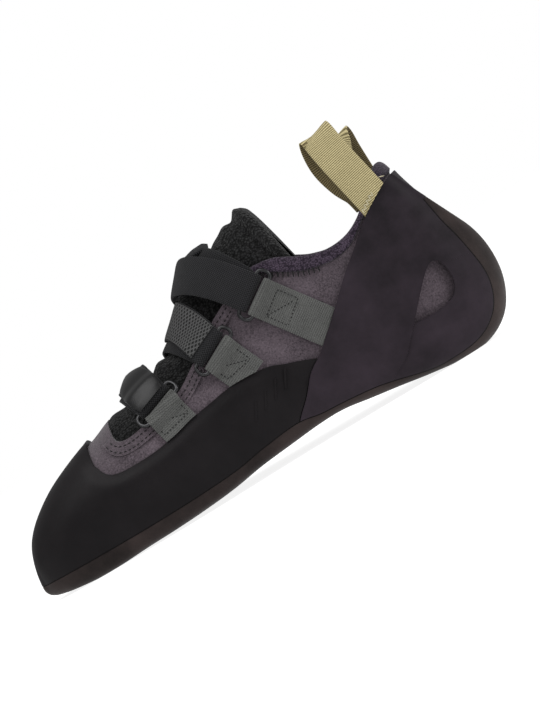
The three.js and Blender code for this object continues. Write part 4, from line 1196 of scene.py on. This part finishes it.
# %% Edge of the throat
FACING, THREAD_ROWS = 0.42, (2.3, 4.9)  # thickness of the facing, and where its two rows run
for side_name, table, lateral in (("medial", THROAT_MEDIAL, False), ("lateral", THROAT_LATERAL, True)):
    edge = smooth_line(table)
    facing = layer_of_last("cloth_facing_" + side_name, FACING, 150, 130)
    cut(facing, layer_of_last("facing_inside", 0.02, 150, 130))
    strip_line = np.concatenate([beside(edge, 0.1), beside(edge, 6.0)[::-1]])
    limits = (RIDGE_Y, 80) if lateral else (-80, RIDGE_Y)
    cut(facing, prism("facing_side", strip_line, *limits), "INTERSECT")
    cut(facing, prism("facing_rand", grown(TOE_RAND_SIDE, 0.1)))
    hand_over(facing, [], microfibre, 50)
    rows = [row_on_last(beside(edge, far)[3:-4], 1.5, 0.75, FACING, lateral) for far in THREAD_ROWS]
    stitches("thread_throat_" + side_name, *(np.concatenate(part) for part in zip(*rows)), 0.5, thread_black)

# %% Edge of the collar
for side_name, lateral, rear_x in (("medial", False, 186), ("lateral", True, 192)):
    edge = low_line[(low_line[:, 0] > 156) & (low_line[:, 0] < rear_x)]
    ticks, _ = spaced(edge, 0.8, 1.5)
    starts, outs = on_side(beside(ticks, 2.3), 0.15, lateral)
    ends, _ = on_side(beside(ticks, -0.7), 0.9, lateral)
    stitches("thread_collar_" + side_name, starts, ends, outs, 0.65, thread_black)

# %% Boxes on the tabs
BOX_REACH = {"toe": 0.62, "mid": 0.66, "top": 0.46}  # how far down its tab a box ends
twelfths = np.linspace(0, 1, 12, endpoint=False)[:, None]
for name, strap in STRAPS.items():
    top, foot = corners(*strap["tab_top"]), corners(*strap["tab_foot"])
    reach, box = BOX_REACH[name], []
    for along, down in ((0.14, 0.2), (0.86, 0.2), (0.86, reach), (0.14, reach), (0.14, 0.2), (0.86, reach)):
        front, rear = top + (foot - top) * down
        box.append(front + (rear - front) * along)
    line = np.concatenate([a + (b - a) * twelfths for a, b in zip(box[:-1], box[1:])])
    row = row_on_last(line, 1.1, 0.6, TAB_OUT + TAB_THICK / 2)
    stitches("thread_tab_" + name, *row, 0.42, thread_black)

# %% Feet of the pull loops
ZIGZAG = np.where(np.arange(17) % 2, 1.7, -0.2)[:, None] * np.array([-0.56, 0.83])
FEET = (("medial", False, (211.4, 77.6), (225.8, 87.4)), ("lateral", True, (212.5, 79.5), (227, 88.5)))
for name, lateral, front, rear in FEET:
    line = np.linspace(front, rear, 17) + ZIGZAG
    over = np.maximum(0, line[:, 1] - OVER_COLLAR)
    points, outs = on_side(np.stack([line[:, 0], line[:, 1] - over], -1), 3.65, lateral)
    points[:, 2] += over
    stitches("thread_loop_" + name, points[:-1], points[1:], outs[:-1], 0.5, thread_cream)

# %% [markdown]
# ## Ribs on the rand
# A few plain slanted ribs stand in low relief on the side rand.

# %% Ribs
RIB_COUNT, RIB_WIDE, RIB_TALL, RIB_SLANT, RIB_HIGH = 4, 1.0, 8.2, 4.4, 0.28
ribs = []
for k in range(RIB_COUNT):
    x, z = 123 + 6.2 * k, 24 + 1.9 * k
    outline = np.array([(x, z), (x + RIB_WIDE, z), (x + RIB_SLANT + RIB_WIDE, z + RIB_TALL),
                        (x + RIB_SLANT, z + RIB_TALL)])
    rib_form = layer_of_rubber("rib", RAND + RIB_HIGH, 260, 150)
    ribs.append(cut(rib_form, prism("rib_side", outline, -80, 0), "INTERSECT"))
pick(ribs[0])
for rib in ribs:
    rib.select_set(True)
bpy.ops.object.join()
rib_group = bpy.context.object
name_of(rib_group, "rubber_ribs")
cut(rib_group, layer_of_rubber("rib_back", RAND - 0.3, 200, 150))
hand_over(rib_group, [], rand_rubber)
